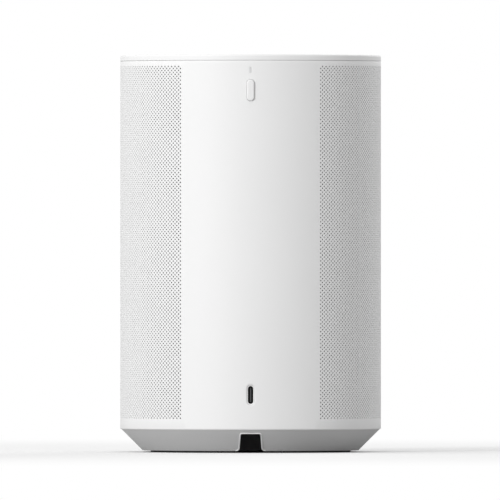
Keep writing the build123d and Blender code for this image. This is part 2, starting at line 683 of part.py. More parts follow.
def cabinet_tub():
    """Sealed tub behind the woofer, open to the front, with bosses for its screws."""
    outside = cabinet_block(CABINET_INSET, CABINET_FRONT, CABINET_REAR, CABINET_BOTTOM, CABINET_TOP)
    inside = cabinet_block(
        CABINET_INSET + CABINET_WALL,
        CABINET_FRONT,
        CABINET_REAR - CABINET_WALL,
        CABINET_BOTTOM + CABINET_WALL,
        CABINET_TOP - CABINET_WALL,
    )
    tub = outside - inside
    limits = outside
    for x, z in baffle_screw_places():
        boss = rod(BOSS_RADIUS, (x, CABINET_FRONT, z), (x, CABINET_FRONT + BOSS_LENGTH, z))
        tub += boss & limits
    for x, y in mirrored(BASE_SCREW_X, BASE_SCREW_Y):
        boss = rod(BOSS_RADIUS, (x, y, CABINET_BOTTOM + 1), (x, y, CABINET_BOTTOM + BASE_BOSS))
        tub += boss & limits
    for x, z in baffle_screw_places():
        tub -= rod(SCREW_RADIUS, (x, CABINET_FRONT - 1, z), (x, CABINET_FRONT + BOSS_HOLE, z))
    for x, y in mirrored(BASE_SCREW_X, BASE_SCREW_Y):
        tub -= rod(SCREW_RADIUS, (x, y, CABINET_BOTTOM), (x, y, CABINET_BOTTOM + BASE_BOSS_HOLE))
    for x, y in post_places():
        tub -= rod(SCREW_RADIUS, (x, y, CABINET_TOP - CABINET_WALL), (x, y, CABINET_TOP))
    return tub - rod(GROMMET_RADIUS, lead_hole(-1), lead_hole(1))


def lead_hole(end):
    """A point before (-1) or behind (1) the tub's rear wall where the woofer's leads pass."""
    middle = CABINET_REAR - CABINET_WALL / 2
    return (0, middle + end * CABINET_WALL, WOOFER_HEIGHT + LEAD_HOLE_RISE)


def lead_grommet():
    """Rubber bush that seals the woofer's leads in the tub's rear wall."""
    bush = rod(GROMMET_RADIUS, lead_hole(-0.5), lead_hole(0.5))
    bush += rod(GROMMET_RADIUS + GROMMET_LIP, lead_hole(0.5), lead_hole(GROMMET_LIP_SHARE))
    for x in (-LEAD_OFFSET, LEAD_OFFSET):
        start = Vector(*lead_hole(-1)) + Vector(x, 0, 0)
        end = Vector(*lead_hole(2)) + Vector(x, 0, 0)
        bush -= rod(WIRE_RADIUS, tuple(start), tuple(end))
    return bush


def baffle_gasket():
    """Foam seal between the tub and the baffle."""
    front, rear = CABINET_FRONT - GASKET, CABINET_FRONT
    seal = cabinet_block(CABINET_INSET, front, rear, CABINET_BOTTOM, CABINET_TOP)
    seal -= cabinet_block(
        CABINET_INSET + CABINET_WALL, front, rear, CABINET_BOTTOM + CABINET_WALL, CABINET_TOP - CABINET_WALL
    )
    limits = cabinet_block(CABINET_INSET, front, rear, CABINET_BOTTOM, CABINET_TOP)
    for x, z in baffle_screw_places():
        seal += rod(BOSS_RADIUS, (x, front, z), (x, rear, z)) & limits
    for x, z in baffle_screw_places():
        seal -= rod(SCREW_RADIUS, (x, front - 1, z), (x, rear + 1, z))
    return seal


def baffle():
    """Front board of the cabinet with the woofer's opening."""
    rear = CABINET_FRONT - GASKET
    board = cabinet_block(CABINET_INSET, BAFFLE_FACE, rear, CABINET_BOTTOM, CABINET_TOP)
    board -= rod(CUTOUT_RADIUS, (0, BAFFLE_FACE - 1, WOOFER_HEIGHT), (0, rear + 1, WOOFER_HEIGHT))
    for x, z in baffle_screw_places():
        board -= rod(SCREW_RADIUS + FIT, (x, BAFFLE_FACE - 1, z), (x, rear + 1, z))
    for x, z in woofer_screw_places():
        board -= rod(WOOFER_SCREW_RADIUS, (x, BAFFLE_FACE - 1, z), (x, rear + 1, z))
    return board


def screw(place, along, length, radius, head_radius, head):
    """A pan-head screw whose head starts at place and whose shank points along."""
    start = Vector(*place)
    way = Vector(*along).normalized()
    body = rod(head_radius, tuple(start - way * head), tuple(start))
    socket_end = start - way * head * DRIVE_DEPTH_SHARE
    drive = rod(head_radius * DRIVE_RADIUS_SHARE, tuple(start - way * (head + 1)), tuple(socket_end))
    return body - drive + rod(radius, tuple(start), tuple(start + way * length))


def baffle_screws():
    """Eight screws through the baffle into the tub."""
    length = BAFFLE + GASKET + BAFFLE_SCREW_GRIP
    places = [(x, BAFFLE_FACE, z) for x, z in baffle_screw_places()]
    return group(
        screw(place, (0, 1, 0), length, SCREW_RADIUS, SCREW_HEAD_RADIUS, SCREW_HEAD) for place in places
    )


def base_screws():
    """Four screws from below that hold the base to the tub."""
    places = [(x, y, CABINET_BOTTOM - BASE_TOWER_SEAT) for x, y in mirrored(BASE_SCREW_X, BASE_SCREW_Y)]
    return group(
        screw(place, (0, 0, 1), BASE_SCREW_LENGTH, SCREW_RADIUS, SCREW_HEAD_RADIUS, SCREW_HEAD)
        for place in places
    )


# ================================================================ woofer
def woofer_screw_places():
    """Sideways place and height of each woofer screw."""
    reach = WOOFER_SCREW_CIRCLE / math.sqrt(2)
    return [(sx * reach, WOOFER_HEIGHT + sz * reach) for sx in (-1, 1) for sz in (-1, 1)]


def woofer_screws():
    """Four screws through the woofer's flange."""
    places = [(x, BAFFLE_FACE - FLANGE, z) for x, z in woofer_screw_places()]
    length = FLANGE + BAFFLE - WOOFER_SCREW_SETBACK
    return group(
        screw(place, (0, 1, 0), length, WOOFER_SCREW_RADIUS, *WOOFER_SCREW_HEAD)
        for place in places
    )


def woofer_basket():
    """Stamped steel frame with four windows."""
    lip = ROLL_RADIUS + ROLL_HALF_WIDTH - BASKET_LIP_OVERLAP
    ledge = SPIDER_RADIUS - BASKET_LEDGE
    basket = turned(
        (lip, -FLANGE),
        (FLANGE_RADIUS, -FLANGE),
        (FLANGE_RADIUS, 0),
        (CUTOUT_RADIUS - BASKET_CLEARANCE, 0),
        (SPIDER_RADIUS + BASKET_SHOULDER[0], SPIDER_DEPTH + BASKET_SHOULDER[1]),
        (MAGNET_RADIUS - 0.5, BASKET_DEPTH - 2),
        (MAGNET_RADIUS - 0.5, BASKET_DEPTH),
        (FORMER_RADIUS + WINDING + COIL_GAP + BASKET_REAR_GAP, BASKET_DEPTH),
        (FORMER_RADIUS + WINDING + COIL_GAP + BASKET_REAR_GAP, BASKET_DEPTH - 2),
        (ledge, BASKET_DEPTH - 2),
        (ledge, SPIDER_DEPTH),
        (SPIDER_RADIUS, SPIDER_DEPTH),
        (lip, 0),
    )
    window = (3, SPIDER_DEPTH - BASKET_WINDOW_REAR)
    half = BASKET_WINDOW_HALF
    basket -= block((-CUTOUT_RADIUS, CUTOUT_RADIUS), window, (-half, half))
    basket -= block((-half, half), window, (-CUTOUT_RADIUS, CUTOUT_RADIUS))
    basket = in_woofer(basket)
    for x, z in woofer_screw_places():
        through = ((x, BAFFLE_FACE - FLANGE - 1, z), (x, BAFFLE_FACE + 1, z))
        basket -= rod(WOOFER_SCREW_RADIUS + PLUNGER_GAP, *through)
    return basket


def half_roll(lip_in, middle, half_width, lip_out, thickness, rear):
    """A ring with a flat lip each side of one raised half roll, turned about Y."""
    front = rear - thickness
    inner, outer = half_width - thickness / 2, half_width + thickness / 2
    foot = math.sqrt(outer**2 - thickness**2)
    outline = Curve() + [
        Line((lip_in, rear), (middle - inner, rear)),
        ThreePointArc((middle - inner, rear), (middle, rear - inner), (middle + inner, rear)),
        Line((middle + inner, rear), (lip_out, rear)),
        Line((lip_out, rear), (lip_out, front)),
        Line((lip_out, front), (middle + foot, front)),
        ThreePointArc((middle + foot, front), (middle, rear - outer), (middle - foot, front)),
        Line((middle - foot, front), (lip_in, front)),
        Line((lip_in, front), (lip_in, rear)),
    ]
    return revolve(make_face(outline), axis=Axis.Y)


def woofer_surround():
    """Half-roll rubber edge between the cone and the basket."""
    lip_in = ROLL_RADIUS - ROLL_HALF_WIDTH - LIP
    lip_out = CUTOUT_RADIUS + 1
    return in_woofer(half_roll(lip_in, ROLL_RADIUS, ROLL_HALF_WIDTH, lip_out, SURROUND, -FLANGE))


def woofer_trim_ring():
    """Ring that clamps the surround's outer lip."""
    front = -FLANGE - SURROUND
    low, high = ROLL_RADIUS + ROLL_HALF_WIDTH + TRIM_SOFTENING, CUTOUT_RADIUS + TRIM_RING_OVERLAP
    face = front - TRIM_RING_DEPTH
    return in_woofer(turned((low, face), (high, face), (high, front), (low, front)))


def cone_edge():
    """Radius of the cone's flat outer lip, where the surround is glued."""
    return ROLL_RADIUS - ROLL_HALF_WIDTH


def cone_slope():
    """How much deeper the cone is for each millimetre nearer its axis."""
    return CONE_DEPTH / (cone_edge() - LIP - FORMER_RADIUS)


def woofer_cone():
    """Paper cone with a flat lip at its edge."""
    neck = -FLANGE + CONE_DEPTH
    return in_woofer(
        turned(
            (FORMER_RADIUS, neck),
            (cone_edge() - LIP, -FLANGE),
            (cone_edge(), -FLANGE),
            (cone_edge(), -FLANGE + CONE_THICKNESS),
            (cone_edge() - LIP + CONE_LIP_OVERLAP, -FLANGE + CONE_THICKNESS),
            (FORMER_RADIUS, neck + CONE_THICKNESS),
        )
    )


def cap_arc(centre, radius, start, end):
    """An arc about a centre on the Y axis, between two distances from that axis."""
    reach = (start, (start + end) / 2, end)
    return ThreePointArc(*[(r, centre - math.sqrt(radius**2 - r**2)) for r in reach])


def woofer_dust_cap():
    """Shallow dome whose rim is glued to the slope of the cone."""
    rim = FORMER_RADIUS + DUST_CAP_OVERHANG
    depth = -FLANGE + CONE_DEPTH - DUST_CAP_OVERHANG * cone_slope()
    radius = (rim**2 + DUST_CAP_RISE**2) / (2 * DUST_CAP_RISE)
    centre = depth - DUST_CAP_RISE + radius
    inner_rim = rim - DUST_CAP_WALL
    inner_depth = depth + DUST_CAP_WALL * cone_slope()
    inner_radius = math.hypot(inner_rim, centre - inner_depth)
    outline = Curve() + [
        cap_arc(centre, radius, 0, rim),
        Line((rim, depth), (inner_rim, inner_depth)),
        cap_arc(centre, inner_radius, inner_rim, 0),
        Line((0, centre - inner_radius), (0, centre - radius)),
    ]
    return in_woofer(revolve(make_face(outline), axis=Axis.Y))


def winding_start():
    """Depth of the winding's front end, which centres it on the top plate."""
    return BASKET_DEPTH + TOP_PLATE / 2 - WINDING_LENGTH / 2


def woofer_voice_coil():
    """Former with its copper winding, which hangs in the magnet's gap."""
    start, end = winding_start(), winding_start() + WINDING_LENGTH
    return in_woofer(
        turned(
            (FORMER_RADIUS - FORMER_WALL, -FLANGE + CONE_DEPTH - 0.5),
            (FORMER_RADIUS, -FLANGE + CONE_DEPTH - 0.5),
            (FORMER_RADIUS, start),
            (FORMER_RADIUS + WINDING, start),
            (FORMER_RADIUS + WINDING, end),
            (FORMER_RADIUS, end),
            (FORMER_RADIUS, end + 0.5),
            (FORMER_RADIUS - FORMER_WALL, end + 0.5),
        )
    )


def woofer_spider():
    """Corrugated centring disc between the former and the basket."""
    waves, swing, cloth = SPIDER_WAVES, SPIDER_SWING, SPIDER_CLOTH
    flat = SPIDER_FLAT
    run = (SPIDER_RADIUS - 2 * flat - FORMER_RADIUS) / (2 * waves)
    front = [(FORMER_RADIUS, SPIDER_DEPTH - cloth), (FORMER_RADIUS + flat, SPIDER_DEPTH - cloth)]
    for step in range(2 * waves - 1):
        radius = FORMER_RADIUS + flat + (step + 1) * run
        front.append((radius, SPIDER_DEPTH - cloth + swing * (-1 if step % 2 == 0 else 1)))
    front += [(SPIDER_RADIUS - flat, SPIDER_DEPTH - cloth), (SPIDER_RADIUS, SPIDER_DEPTH - cloth)]
    back = [(radius, depth + cloth) for radius, depth in reversed(front)]
    return in_woofer(turned(*front, *back))


def woofer_top_plate():
    """Steel ring that focuses the field on the winding."""
    bore = FORMER_RADIUS + WINDING + COIL_GAP
    return in_woofer(
        turned(
            (bore, BASKET_DEPTH),
            (TOP_PLATE_RADIUS, BASKET_DEPTH),
            (TOP_PLATE_RADIUS, BASKET_DEPTH + TOP_PLATE),
            (bore, BASKET_DEPTH + TOP_PLATE),
        )
    )


def woofer_magnet():
    """Ferrite ring magnet."""
    low = BASKET_DEPTH + TOP_PLATE
    bevel = TRIM_SOFTENING
    return in_woofer(
        turned(
            (MAGNET_BORE, low),
            (MAGNET_RADIUS - bevel, low),
            (MAGNET_RADIUS, low + bevel),
            (MAGNET_RADIUS, low + MAGNET - bevel),
            (MAGNET_RADIUS - bevel, low + MAGNET),
            (MAGNET_BORE, low + MAGNET),
        )
    )


def woofer_yoke():
    """Back plate and vented pole piece, turned from one billet."""
    low = BASKET_DEPTH + TOP_PLATE + MAGNET
    pole = FORMER_RADIUS - FORMER_WALL - COIL_GAP
    vent = 3.0
    return in_woofer(
        turned(
            (vent, BASKET_DEPTH),
            (pole, BASKET_DEPTH),
            (pole, low),
            (MAGNET_RADIUS - 1, low),
            (MAGNET_RADIUS - YOKE_BEVEL[0], low + YOKE - YOKE_BEVEL[2]),
            (MAGNET_RADIUS - YOKE_BEVEL[1], low + YOKE),
            (vent, low + YOKE),
        )
    )


# ================================================================ tweeters
def tweeter_waveguide(side):
    """Square horn block with a curved flare and a seat for the drive unit."""
    half = HORN_SIZE / 2
    height = (BRACKET_TOP - TWEETER_HEIGHT, DECK_BOTTOM - TWEETER_HEIGHT)
    shape = block((-half, half), (0, HORN_DEPTH), height)
    flare = Curve() + [
        Line((0, -1), (HORN_MOUTH_RADIUS + HORN_RIM, -1)),
        Line((HORN_MOUTH_RADIUS + HORN_RIM, -1), (HORN_MOUTH_RADIUS, 0)),
        ThreePointArc(
            (HORN_MOUTH_RADIUS, 0),
            (HORN_THROAT_RADIUS + HORN_FLARE, HORN_THROAT_DEPTH * HORN_FLARE_SHARE),
            (HORN_THROAT_RADIUS, HORN_THROAT_DEPTH),
        ),
        Line((HORN_THROAT_RADIUS, HORN_THROAT_DEPTH), (0, HORN_THROAT_DEPTH)),
        Line((0, HORN_THROAT_DEPTH), (0, -1)),
    ]
    shape -= revolve(make_face(flare), axis=Axis.Y)
    seat = (0, HORN_THROAT_DEPTH - SEAT_SINK, 0)
    shape -= rod(CUP_RADIUS, seat, (0, HORN_DEPTH + 1, 0))
    return in_tweeter(shape, side)


def tweeter_cup(side):
    """Neodymium motor in a steel cup, with its annular gap."""
    gap_in, gap_out = DOME_RADIUS - GAP_INSIDE, DOME_RADIUS + GAP_OUTSIDE
    end = CUP_FACE + CUP_DEPTH
    cup = turned(
        (0, CUP_FACE),
        (gap_in, CUP_FACE),
        (gap_in, CUP_FACE + CUP_GAP_DEPTH),
        (gap_out, CUP_FACE + CUP_GAP_DEPTH),
        (gap_out, CUP_FACE),
        (CUP_RADIUS, CUP_FACE),
        (CUP_RADIUS, end - 1),
        (CUP_RADIUS - 1, end),
        (0, end),
    )
    return in_tweeter(cup, side)


def tweeter_dome(side):
    """Soft dome on its coil former."""
    rim = CUP_FACE - DOME_RIM_LIFT
    radius = (DOME_RADIUS**2 + DOME_HEIGHT**2) / (2 * DOME_HEIGHT)
    centre = rim - DOME_HEIGHT + radius
    inner_radius = radius - DOME_THICKNESS
    inside = DOME_RADIUS - DOME_THICKNESS
    inner_rim = centre - math.sqrt(inner_radius**2 - inside**2)
    foot = CUP_FACE + CUP_GAP_DEPTH - DOME_COIL_LIFT
    outline = Curve() + [
        cap_arc(centre, radius, 0, DOME_RADIUS),
        Line((DOME_RADIUS, rim), (DOME_RADIUS, foot)),
        Line((DOME_RADIUS, foot), (inside, foot)),
        Line((inside, foot), (inside, inner_rim)),
        cap_arc(centre, inner_radius, inside, 0),
        Line((0, centre - inner_radius), (0, centre - radius)),
    ]
    return in_tweeter(revolve(make_face(outline), axis=Axis.Y), side)


def tweeter_surround(side):
    """Narrow roll between the dome and the face of the cup."""
    lip_out = CUP_RADIUS - FIT
    middle, half_width = TWEETER_ROLL_RADIUS, TWEETER_ROLL_HALF_WIDTH
    return in_tweeter(half_roll(DOME_RADIUS, middle, half_width, lip_out, TWEETER_ROLL, CUP_FACE), side)


# ================================================================ decks
def post_places():
    """The three posts that carry the upper deck."""
    x, y = POST_REAR
    return [(0, POST_FRONT_Y), (-x, y), (x, y)]


def tweeter_bracket():
    """Plate on the tub's roof with three posts up to the upper deck."""
    front = -BACK + BRACKET_SETBACK
    plate = cabinet_block(CABINET_INSET + 1, front, CABINET_REAR, CABINET_TOP, BRACKET_TOP)
    for x, y in post_places():
        plate += rod(POST_RADIUS, (x, y, CABINET_TOP), (x, y, DECK_BOTTOM))
    for x, y in post_places():
        plate -= rod(SCREW_RADIUS, (x, y, DECK_BOTTOM - DECK_POST_HOLE), (x, y, DECK_BOTTOM + 1))
    return plate


def upper_deck():
    """Deck under the touch cover, with the cover's sockets and a tab for the button board."""
    deck = oval_block(LINER_INSET + FIT, DECK_BOTTOM, DECK_TOP)
    for x, y in mirrored(PEG_X, PEG_Y):
        deck += rod(PEG_RADIUS + SOCKET_WALL, (x, y, DECK_TOP), (x, y, DECK_TOP + PEG_ENGAGEMENT))
        deck -= rod(PEG_RADIUS, (x, y, DECK_TOP), (x, y, DECK_TOP + PEG_ENGAGEMENT))
    for x, y in post_places():
        deck -= rod(SCREW_RADIUS + FIT, (x, y, DECK_BOTTOM), (x, y, DECK_TOP))
    width, thickness, height = BUTTON_BOARD
    front = BUTTON_BOARD_REAR - thickness
    deck -= block((-width / 2 - 1, width / 2 + 1), (front, BACK), (DECK_BOTTOM, DECK_TOP))
    middle = button_board_middle()
    tab_height = (middle - height / 2, middle + height / 2)
    return deck + block((-width / 2, width / 2), (front - 2, front), tab_height)


def deck_screws():
    """Three screws that hold the upper deck on its posts."""
    places = [(x, y, DECK_TOP) for x, y in post_places()]
    length = UPPER_DECK + DECK_SCREW_GRIP
    return group(
        screw(place, (0, 0, -1), length, SCREW_RADIUS, SCREW_HEAD_RADIUS, SCREW_HEAD) for place in places
    )


# ================================================================ electronics
def plate_with_holes(x, y, z, places, axis, radius=BOARD_HOLE_RADIUS):
    """A circuit board with a round hole through it at each place."""
    board = block(x, y, z)
    for across, up in places:
        if axis == "y":
            board -= rod(radius, (across, y[0] - 1, up), (across, y[1] + 1, up))
        else:
            board -= rod(radius, (across, up, z[0] - 1), (across, up, z[1] + 1))
    return board


def touch_board():
    """Sensor board bonded under the cover."""
    low, high = COVER_BOTTOM - 1, COVER_BOTTOM
    board = oval_block(TOUCH_BOARD_INSET, low, high)
    for x, y in mirrored(MIC_X, MIC_Y):
        board -= rod(MIC_HOLE_RADIUS, (x, y, low - 1), (x, y, high + 1))
    return board - rod(TOP_LIGHT_RADIUS, (0, TOP_LIGHT_Y, low - 1), (0, TOP_LIGHT_Y, high + 1))


def microphones():
    """Four small microphone cans under the cover's holes."""
    low, high = COVER_BOTTOM - 2, COVER_BOTTOM - 1
    places = mirrored(MIC_X, MIC_Y)
    wide, deep = MICROPHONE_HALF
    return group(block((x - wide, x + wide), (y - deep, y + deep), (low, high)) for x, y in places)


def main_board_corners():
    """Screw holes of the main board."""
    x = MAIN_BOARD_HALF_WIDTH - MAIN_BOARD_SCREW_INSET
    heights = (MAIN_BOARD_BOTTOM + MAIN_BOARD_SCREW_RISE, CABINET_TOP - MAIN_BOARD_SCREW_DROP)
    return [(side * x, z) for side in (-1, 1) for z in heights]


def main_board():
    """Logic board behind the spine, with the data socket at its foot."""
    half = MAIN_BOARD_HALF_WIDTH
    y = (MAIN_BOARD_REAR - BOARD, MAIN_BOARD_REAR)
    return plate_with_holes((-half, half), y, (MAIN_BOARD_BOTTOM, CABINET_TOP), main_board_corners(), "y")


def chip(x, z, width, height, thickness=1.0):
    """A flat package on the main board's rear face."""
    y = (MAIN_BOARD_REAR, MAIN_BOARD_REAR + thickness)
    return block((x - width / 2, x + width / 2), y, (z - height / 2, z + height / 2))


def shield(x, z, width, height, tall):
    """A folded sheet-metal can over part of the main board."""
    outside = chip(x, z, width, height, tall)
    inside = chip(x, z, width - 2 * SHIELD_WALL, height - 2 * SHIELD_WALL, tall - SHIELD_WALL)
    return outside - inside


def board_shields():
    """Cans over the processor and the wireless module."""
    return group(shield(x, WOOFER_HEIGHT + z, *size) for x, z, *size in (BIG_SHIELD, SMALL_SHIELD))


def board_chips():
    """The processor under its can and two memory packages beside it."""
    memory = [chip(MEMORY_X, WOOFER_HEIGHT + step, *MEMORY_SIZE) for step in MEMORY_STEPS]
    x, z, *size = PROCESSOR
    return group([chip(x, WOOFER_HEIGHT + z, *size)] + memory)


def board_spacers():
    """Standoffs from the tub to the amplifier board, and on to the main board."""
    spans = [(CABINET_REAR, AMP_BOARD_FRONT), (AMP_BOARD_FRONT + BOARD, MAIN_BOARD_REAR - BOARD)]
    corners = main_board_corners()
    return group(rod(SPACER_RADIUS, (x, low, z), (x, high, z)) for low, high in spans for x, z in corners)


def amplifier_board():
    """Power amplifier board behind the tub."""
    half = AMP_BOARD_HALF_WIDTH
    y = (AMP_BOARD_FRONT, AMP_BOARD_FRONT + BOARD)
    z = (CABINET_BOTTOM + 4, CABINET_TOP - 2)
    return plate_with_holes((-half, half), y, z, main_board_corners(), "y")


def heat_spreader():
    """Finned aluminium block on the amplifier chips."""
    rear = AMP_BOARD_FRONT + BOARD
    middle = WOOFER_HEIGHT + SPREADER_RISE
    wide, tall = SPREADER_HALF
    face = rear + SPREADER_PLATE
    span = (middle - tall, middle + tall)
    plate = block((-wide, wide), (rear, face), span)
    for step in range(FIN_COUNT):
        x = (step - (FIN_COUNT - 1) / 2) * FIN_PITCH
        plate += block((x - FIN_HALF, x + FIN_HALF), (face, face + FIN_HEIGHT), span)
    return plate


def amplifier_coils():
    """Four shielded output chokes under the heat spreader."""
    rear = AMP_BOARD_FRONT + BOARD
    coils = []
    for step in range(4):
        x = (step - 1.5) * COIL_PITCH
        z = WOOFER_HEIGHT - COIL_DROP
        sides = (x - COIL_HALF, x + COIL_HALF)
        coil = block(sides, (rear, rear + COIL_HEIGHT), (z - COIL_HALF, z + COIL_HALF))
        coils.append(chamfer(coil.edges().filter_by(Axis.Y), COIL_BEVEL))
    return group(coils)


def power_board_span():
    """Front and rear edge of the power board."""
    return CABINET_FRONT - POWER_BOARD_FRONT_GAP, INLET_Y - POWER_BOARD_REAR_GAP


def power_board():
    """Mains supply board on the base's posts."""
    half = POWER_BOARD_HALF_WIDTH
    z = (POWER_BOARD_HEIGHT, POWER_BOARD_HEIGHT + BOARD)
    return plate_with_holes((-half, half), power_board_span(), z, board_posts(), "z")


def raised(span, floor):
    """A low and high value, both lifted by floor."""
    return span[0] + floor, span[1] + floor


def transformer_core():
    """Ferrite core of the supply's transformer, two closed loops round the bobbin."""
    z = POWER_BOARD_HEIGHT + BOARD
    core = block(TRANSFORMER_X, TRANSFORMER_Y, raised(TRANSFORMER_Z, z))
    return core - block(WINDOW_X, WINDING_Y, raised(WINDOW_Z, z))


def transformer_bobbin():
    """Taped winding inside the core."""
    z = POWER_BOARD_HEIGHT + BOARD
    winding = block(WINDOW_X, WINDING_Y, raised(WINDOW_Z, z))
    under = (z, z + WINDOW_Z[0])
    feet = block(BOBBIN_FEET_X, BOBBIN_FEET_Y[0], under) + block(BOBBIN_FEET_X, BOBBIN_FEET_Y[1], under)
    return winding + feet


def smoothing_capacitors():
    """Three upright electrolytic cans, domed at the top edge."""
    z = POWER_BOARD_HEIGHT + BOARD
    cans = []
    for x, y, radius in CAPACITORS:
        can = rod(radius, (x, y, z), (x, y, z + CAPACITOR_HEIGHT))
        cans.append(fillet(can.edges().group_by(Axis.Z)[-1], EDGE_SOFTENING))
    return group(cans)


def mains_choke():
    """Ring choke that lies behind the inlet."""
    z = POWER_BOARD_HEIGHT + BOARD
    x, y = CHOKE_PLACE
    outside = rod(CHOKE_RADIUS, (x, y, z), (x, y, z + CHOKE_HEIGHT))
    ring = outside - rod(CHOKE_BORE, (x, y, z - 1), (x, y, z + CHOKE_HEIGHT + 1))
    return fillet(ring.edges().filter_by(GeomType.CIRCLE), CHOKE_ROUNDING)


def safety_capacitor():
    """Box film capacitor across the mains."""
    z = POWER_BOARD_HEIGHT + BOARD
    across, along, up = SAFETY_CAPACITOR
    box = block(across, along, raised(up, z))
    return fillet(box.edges().filter_by(Axis.Z), SAFETY_CAPACITOR_ROUNDING)


# ================================================================ wires
def wire(points):
    """A round wire along straight runs joined by tangent arcs."""
    path = FilletPolyline(*points, radius=3.0)
    start = Vector(*points[0])
    face = Plane(origin=tuple(start), z_dir=Vector(*points[1]) - start) * Circle(WIRE_RADIUS)
    return sweep(face, path=path)


def woofer_leads():
    """Two leads from the amplifier board through the tub to the woofer's terminals."""
    leads = []
    terminal_y = BAFFLE_FACE + BASKET_DEPTH - 4
    rise = WOOFER_HEIGHT + SPIDER_RADIUS + WOOFER_LEAD_RISE
    for side in (-1, 1):
        x = side * LEAD_OFFSET
        top = lead_hole(0)[2]
        leads.append(
            wire(
                [
                    (x, AMP_BOARD_FRONT, top),
                    (x, terminal_y + WOOFER_LEAD_REACH, top),
                    (side * 4, terminal_y, rise),
                    (side * 4, terminal_y - WOOFER_LEAD_BACK, rise),
                ]
            )
        )
    return group(leads)


def mains_leads():
    """Two leads from the inlet's pins to the power board."""
    start_y = INLET_Y + INLET_DEPTH / 2 - PIN_RADIUS
    top = INLET_ROOF + SOCKET_DEPTH + SOCKET_WALL + WIRE_RADIUS + FIT / 2
    board = POWER_BOARD_HEIGHT + BOARD
    end = INLET_Y - MAINS_LEAD_GAP
    leads = []
    for side in (-1, 1):
        x = side * PIN_SPACING / 2
        leads.append(wire([(x, start_y, top), (x, end, top), (x, end, board)]))
    return group(leads)


PIECES = {
    "sleeve": sleeve,
    "acoustic_liner": acoustic_liner,
    "top_cover": top_cover,
    "top_light_lens": top_light_lens,
    "base_shell": base_shell,
    "foot_pad": foot_pad,
    "inlet_housing": inlet_housing,
    "inlet_pins": inlet_pins,
    "pair_button": pair_button,
    "switch_plunger": switch_plunger,
    "tact_switch": tact_switch,
    "button_board": button_board,
    "status_light_lens": status_light_lens,
    "usb_shell": usb_shell,
    "usb_tongue": usb_tongue,
    "cabinet_tub": cabinet_tub,
    "lead_grommet": lead_grommet,
    "baffle_gasket": baffle_gasket,
    "baffle": baffle,
    "baffle_screws": baffle_screws,
    "base_screws": base_screws,
    "woofer_screws": woofer_screws,
    "woofer_basket": woofer_basket,
    "woofer_surround": woofer_surround,
    "woofer_trim_ring": woofer_trim_ring,
    "woofer_cone": woofer_cone,
    "woofer_dust_cap": woofer_dust_cap,
    "woofer_voice_coil": woofer_voice_coil,
    "woofer_spider": woofer_spider,
    "woofer_top_plate": woofer_top_plate,
    "woofer_magnet": woofer_magnet,
    "woofer_yoke": woofer_yoke,
    "tweeter_bracket": tweeter_bracket,
    "upper_deck": upper_deck,
    "deck_screws": deck_screws,
    "touch_board": touch_board,
    "microphones": microphones,
    "main_board": main_board,
    "board_shields": board_shields,
    "board_chips": board_chips,
    "board_spacers": board_spacers,
    "amplifier_board": amplifier_board,
    "heat_spreader": heat_spreader,
    "amplifier_coils": amplifier_coils,
    "power_board": power_board,
    "transformer_core": transformer_core,
    "transformer_bobbin": transformer_bobbin,
    "smoothing_capacitors": smoothing_capacitors,
    "mains_choke": mains_choke,
    "safety_capacitor": safety_capacitor,
    "woofer_leads": woofer_leads,
    "mains_leads": mains_leads,
}
PAIRED_PIECES = {
    "tweeter_{}_waveguide": tweeter_waveguide,
    "tweeter_{}_cup": tweeter_cup,
    "tweeter_{}_dome": tweeter_dome,
    "tweeter_{}_surround": tweeter_surround,
}


def main():
    """Writes one STEP file for each piece."""
    os.makedirs("parts", exist_ok=True)
    for name, make in PIECES.items():
        export_step(make(), f"parts/{name}.step")
    for pattern, make in PAIRED_PIECES.items():
        for side in SIDES:
            export_step(make(side), f"parts/{pattern.format(side)}.step")


main()
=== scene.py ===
"""Looks of the smart speaker: its perforated housing, soft parts, finishes, floor, lights and camera.

Every length is in metres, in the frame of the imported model.  +Z is up, and the spine with the button
and the sockets faces +Y.
"""

from __future__ import annotations

import json
import logging
import math
from dataclasses import dataclass, field
from enum import Enum
from functools import cache
from typing import Any, Iterable, Sequence

import bmesh
import bpy
import numpy as np
from bmesh.types import BMEdge, BMesh, BMFace, BMVert
from bpy.types import Material, Mesh, Node, NodeSocket, NodeTree, Object
from mathutils import Matrix, Vector

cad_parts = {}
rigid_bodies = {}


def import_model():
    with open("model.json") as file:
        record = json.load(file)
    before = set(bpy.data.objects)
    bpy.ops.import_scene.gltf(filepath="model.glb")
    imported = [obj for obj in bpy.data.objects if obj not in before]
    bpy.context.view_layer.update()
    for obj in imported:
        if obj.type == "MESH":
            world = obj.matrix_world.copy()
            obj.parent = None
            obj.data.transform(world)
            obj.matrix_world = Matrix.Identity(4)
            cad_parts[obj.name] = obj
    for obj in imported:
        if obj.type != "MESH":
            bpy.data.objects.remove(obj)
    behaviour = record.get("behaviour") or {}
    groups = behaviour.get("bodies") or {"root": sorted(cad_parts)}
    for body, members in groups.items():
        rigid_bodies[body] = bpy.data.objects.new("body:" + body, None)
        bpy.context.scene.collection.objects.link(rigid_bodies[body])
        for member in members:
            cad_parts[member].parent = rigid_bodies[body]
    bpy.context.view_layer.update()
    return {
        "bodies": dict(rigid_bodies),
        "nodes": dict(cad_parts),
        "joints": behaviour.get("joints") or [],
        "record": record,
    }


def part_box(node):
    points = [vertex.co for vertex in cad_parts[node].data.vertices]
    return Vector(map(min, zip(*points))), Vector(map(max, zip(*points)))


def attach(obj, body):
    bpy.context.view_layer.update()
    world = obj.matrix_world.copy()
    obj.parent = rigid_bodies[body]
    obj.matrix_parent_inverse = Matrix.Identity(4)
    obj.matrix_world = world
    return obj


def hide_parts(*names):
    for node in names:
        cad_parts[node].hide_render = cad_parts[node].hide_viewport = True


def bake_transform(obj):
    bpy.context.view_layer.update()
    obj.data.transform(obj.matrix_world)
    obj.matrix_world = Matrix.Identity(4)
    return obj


MM = 0.001
ENCLOSURE = "enclosure"
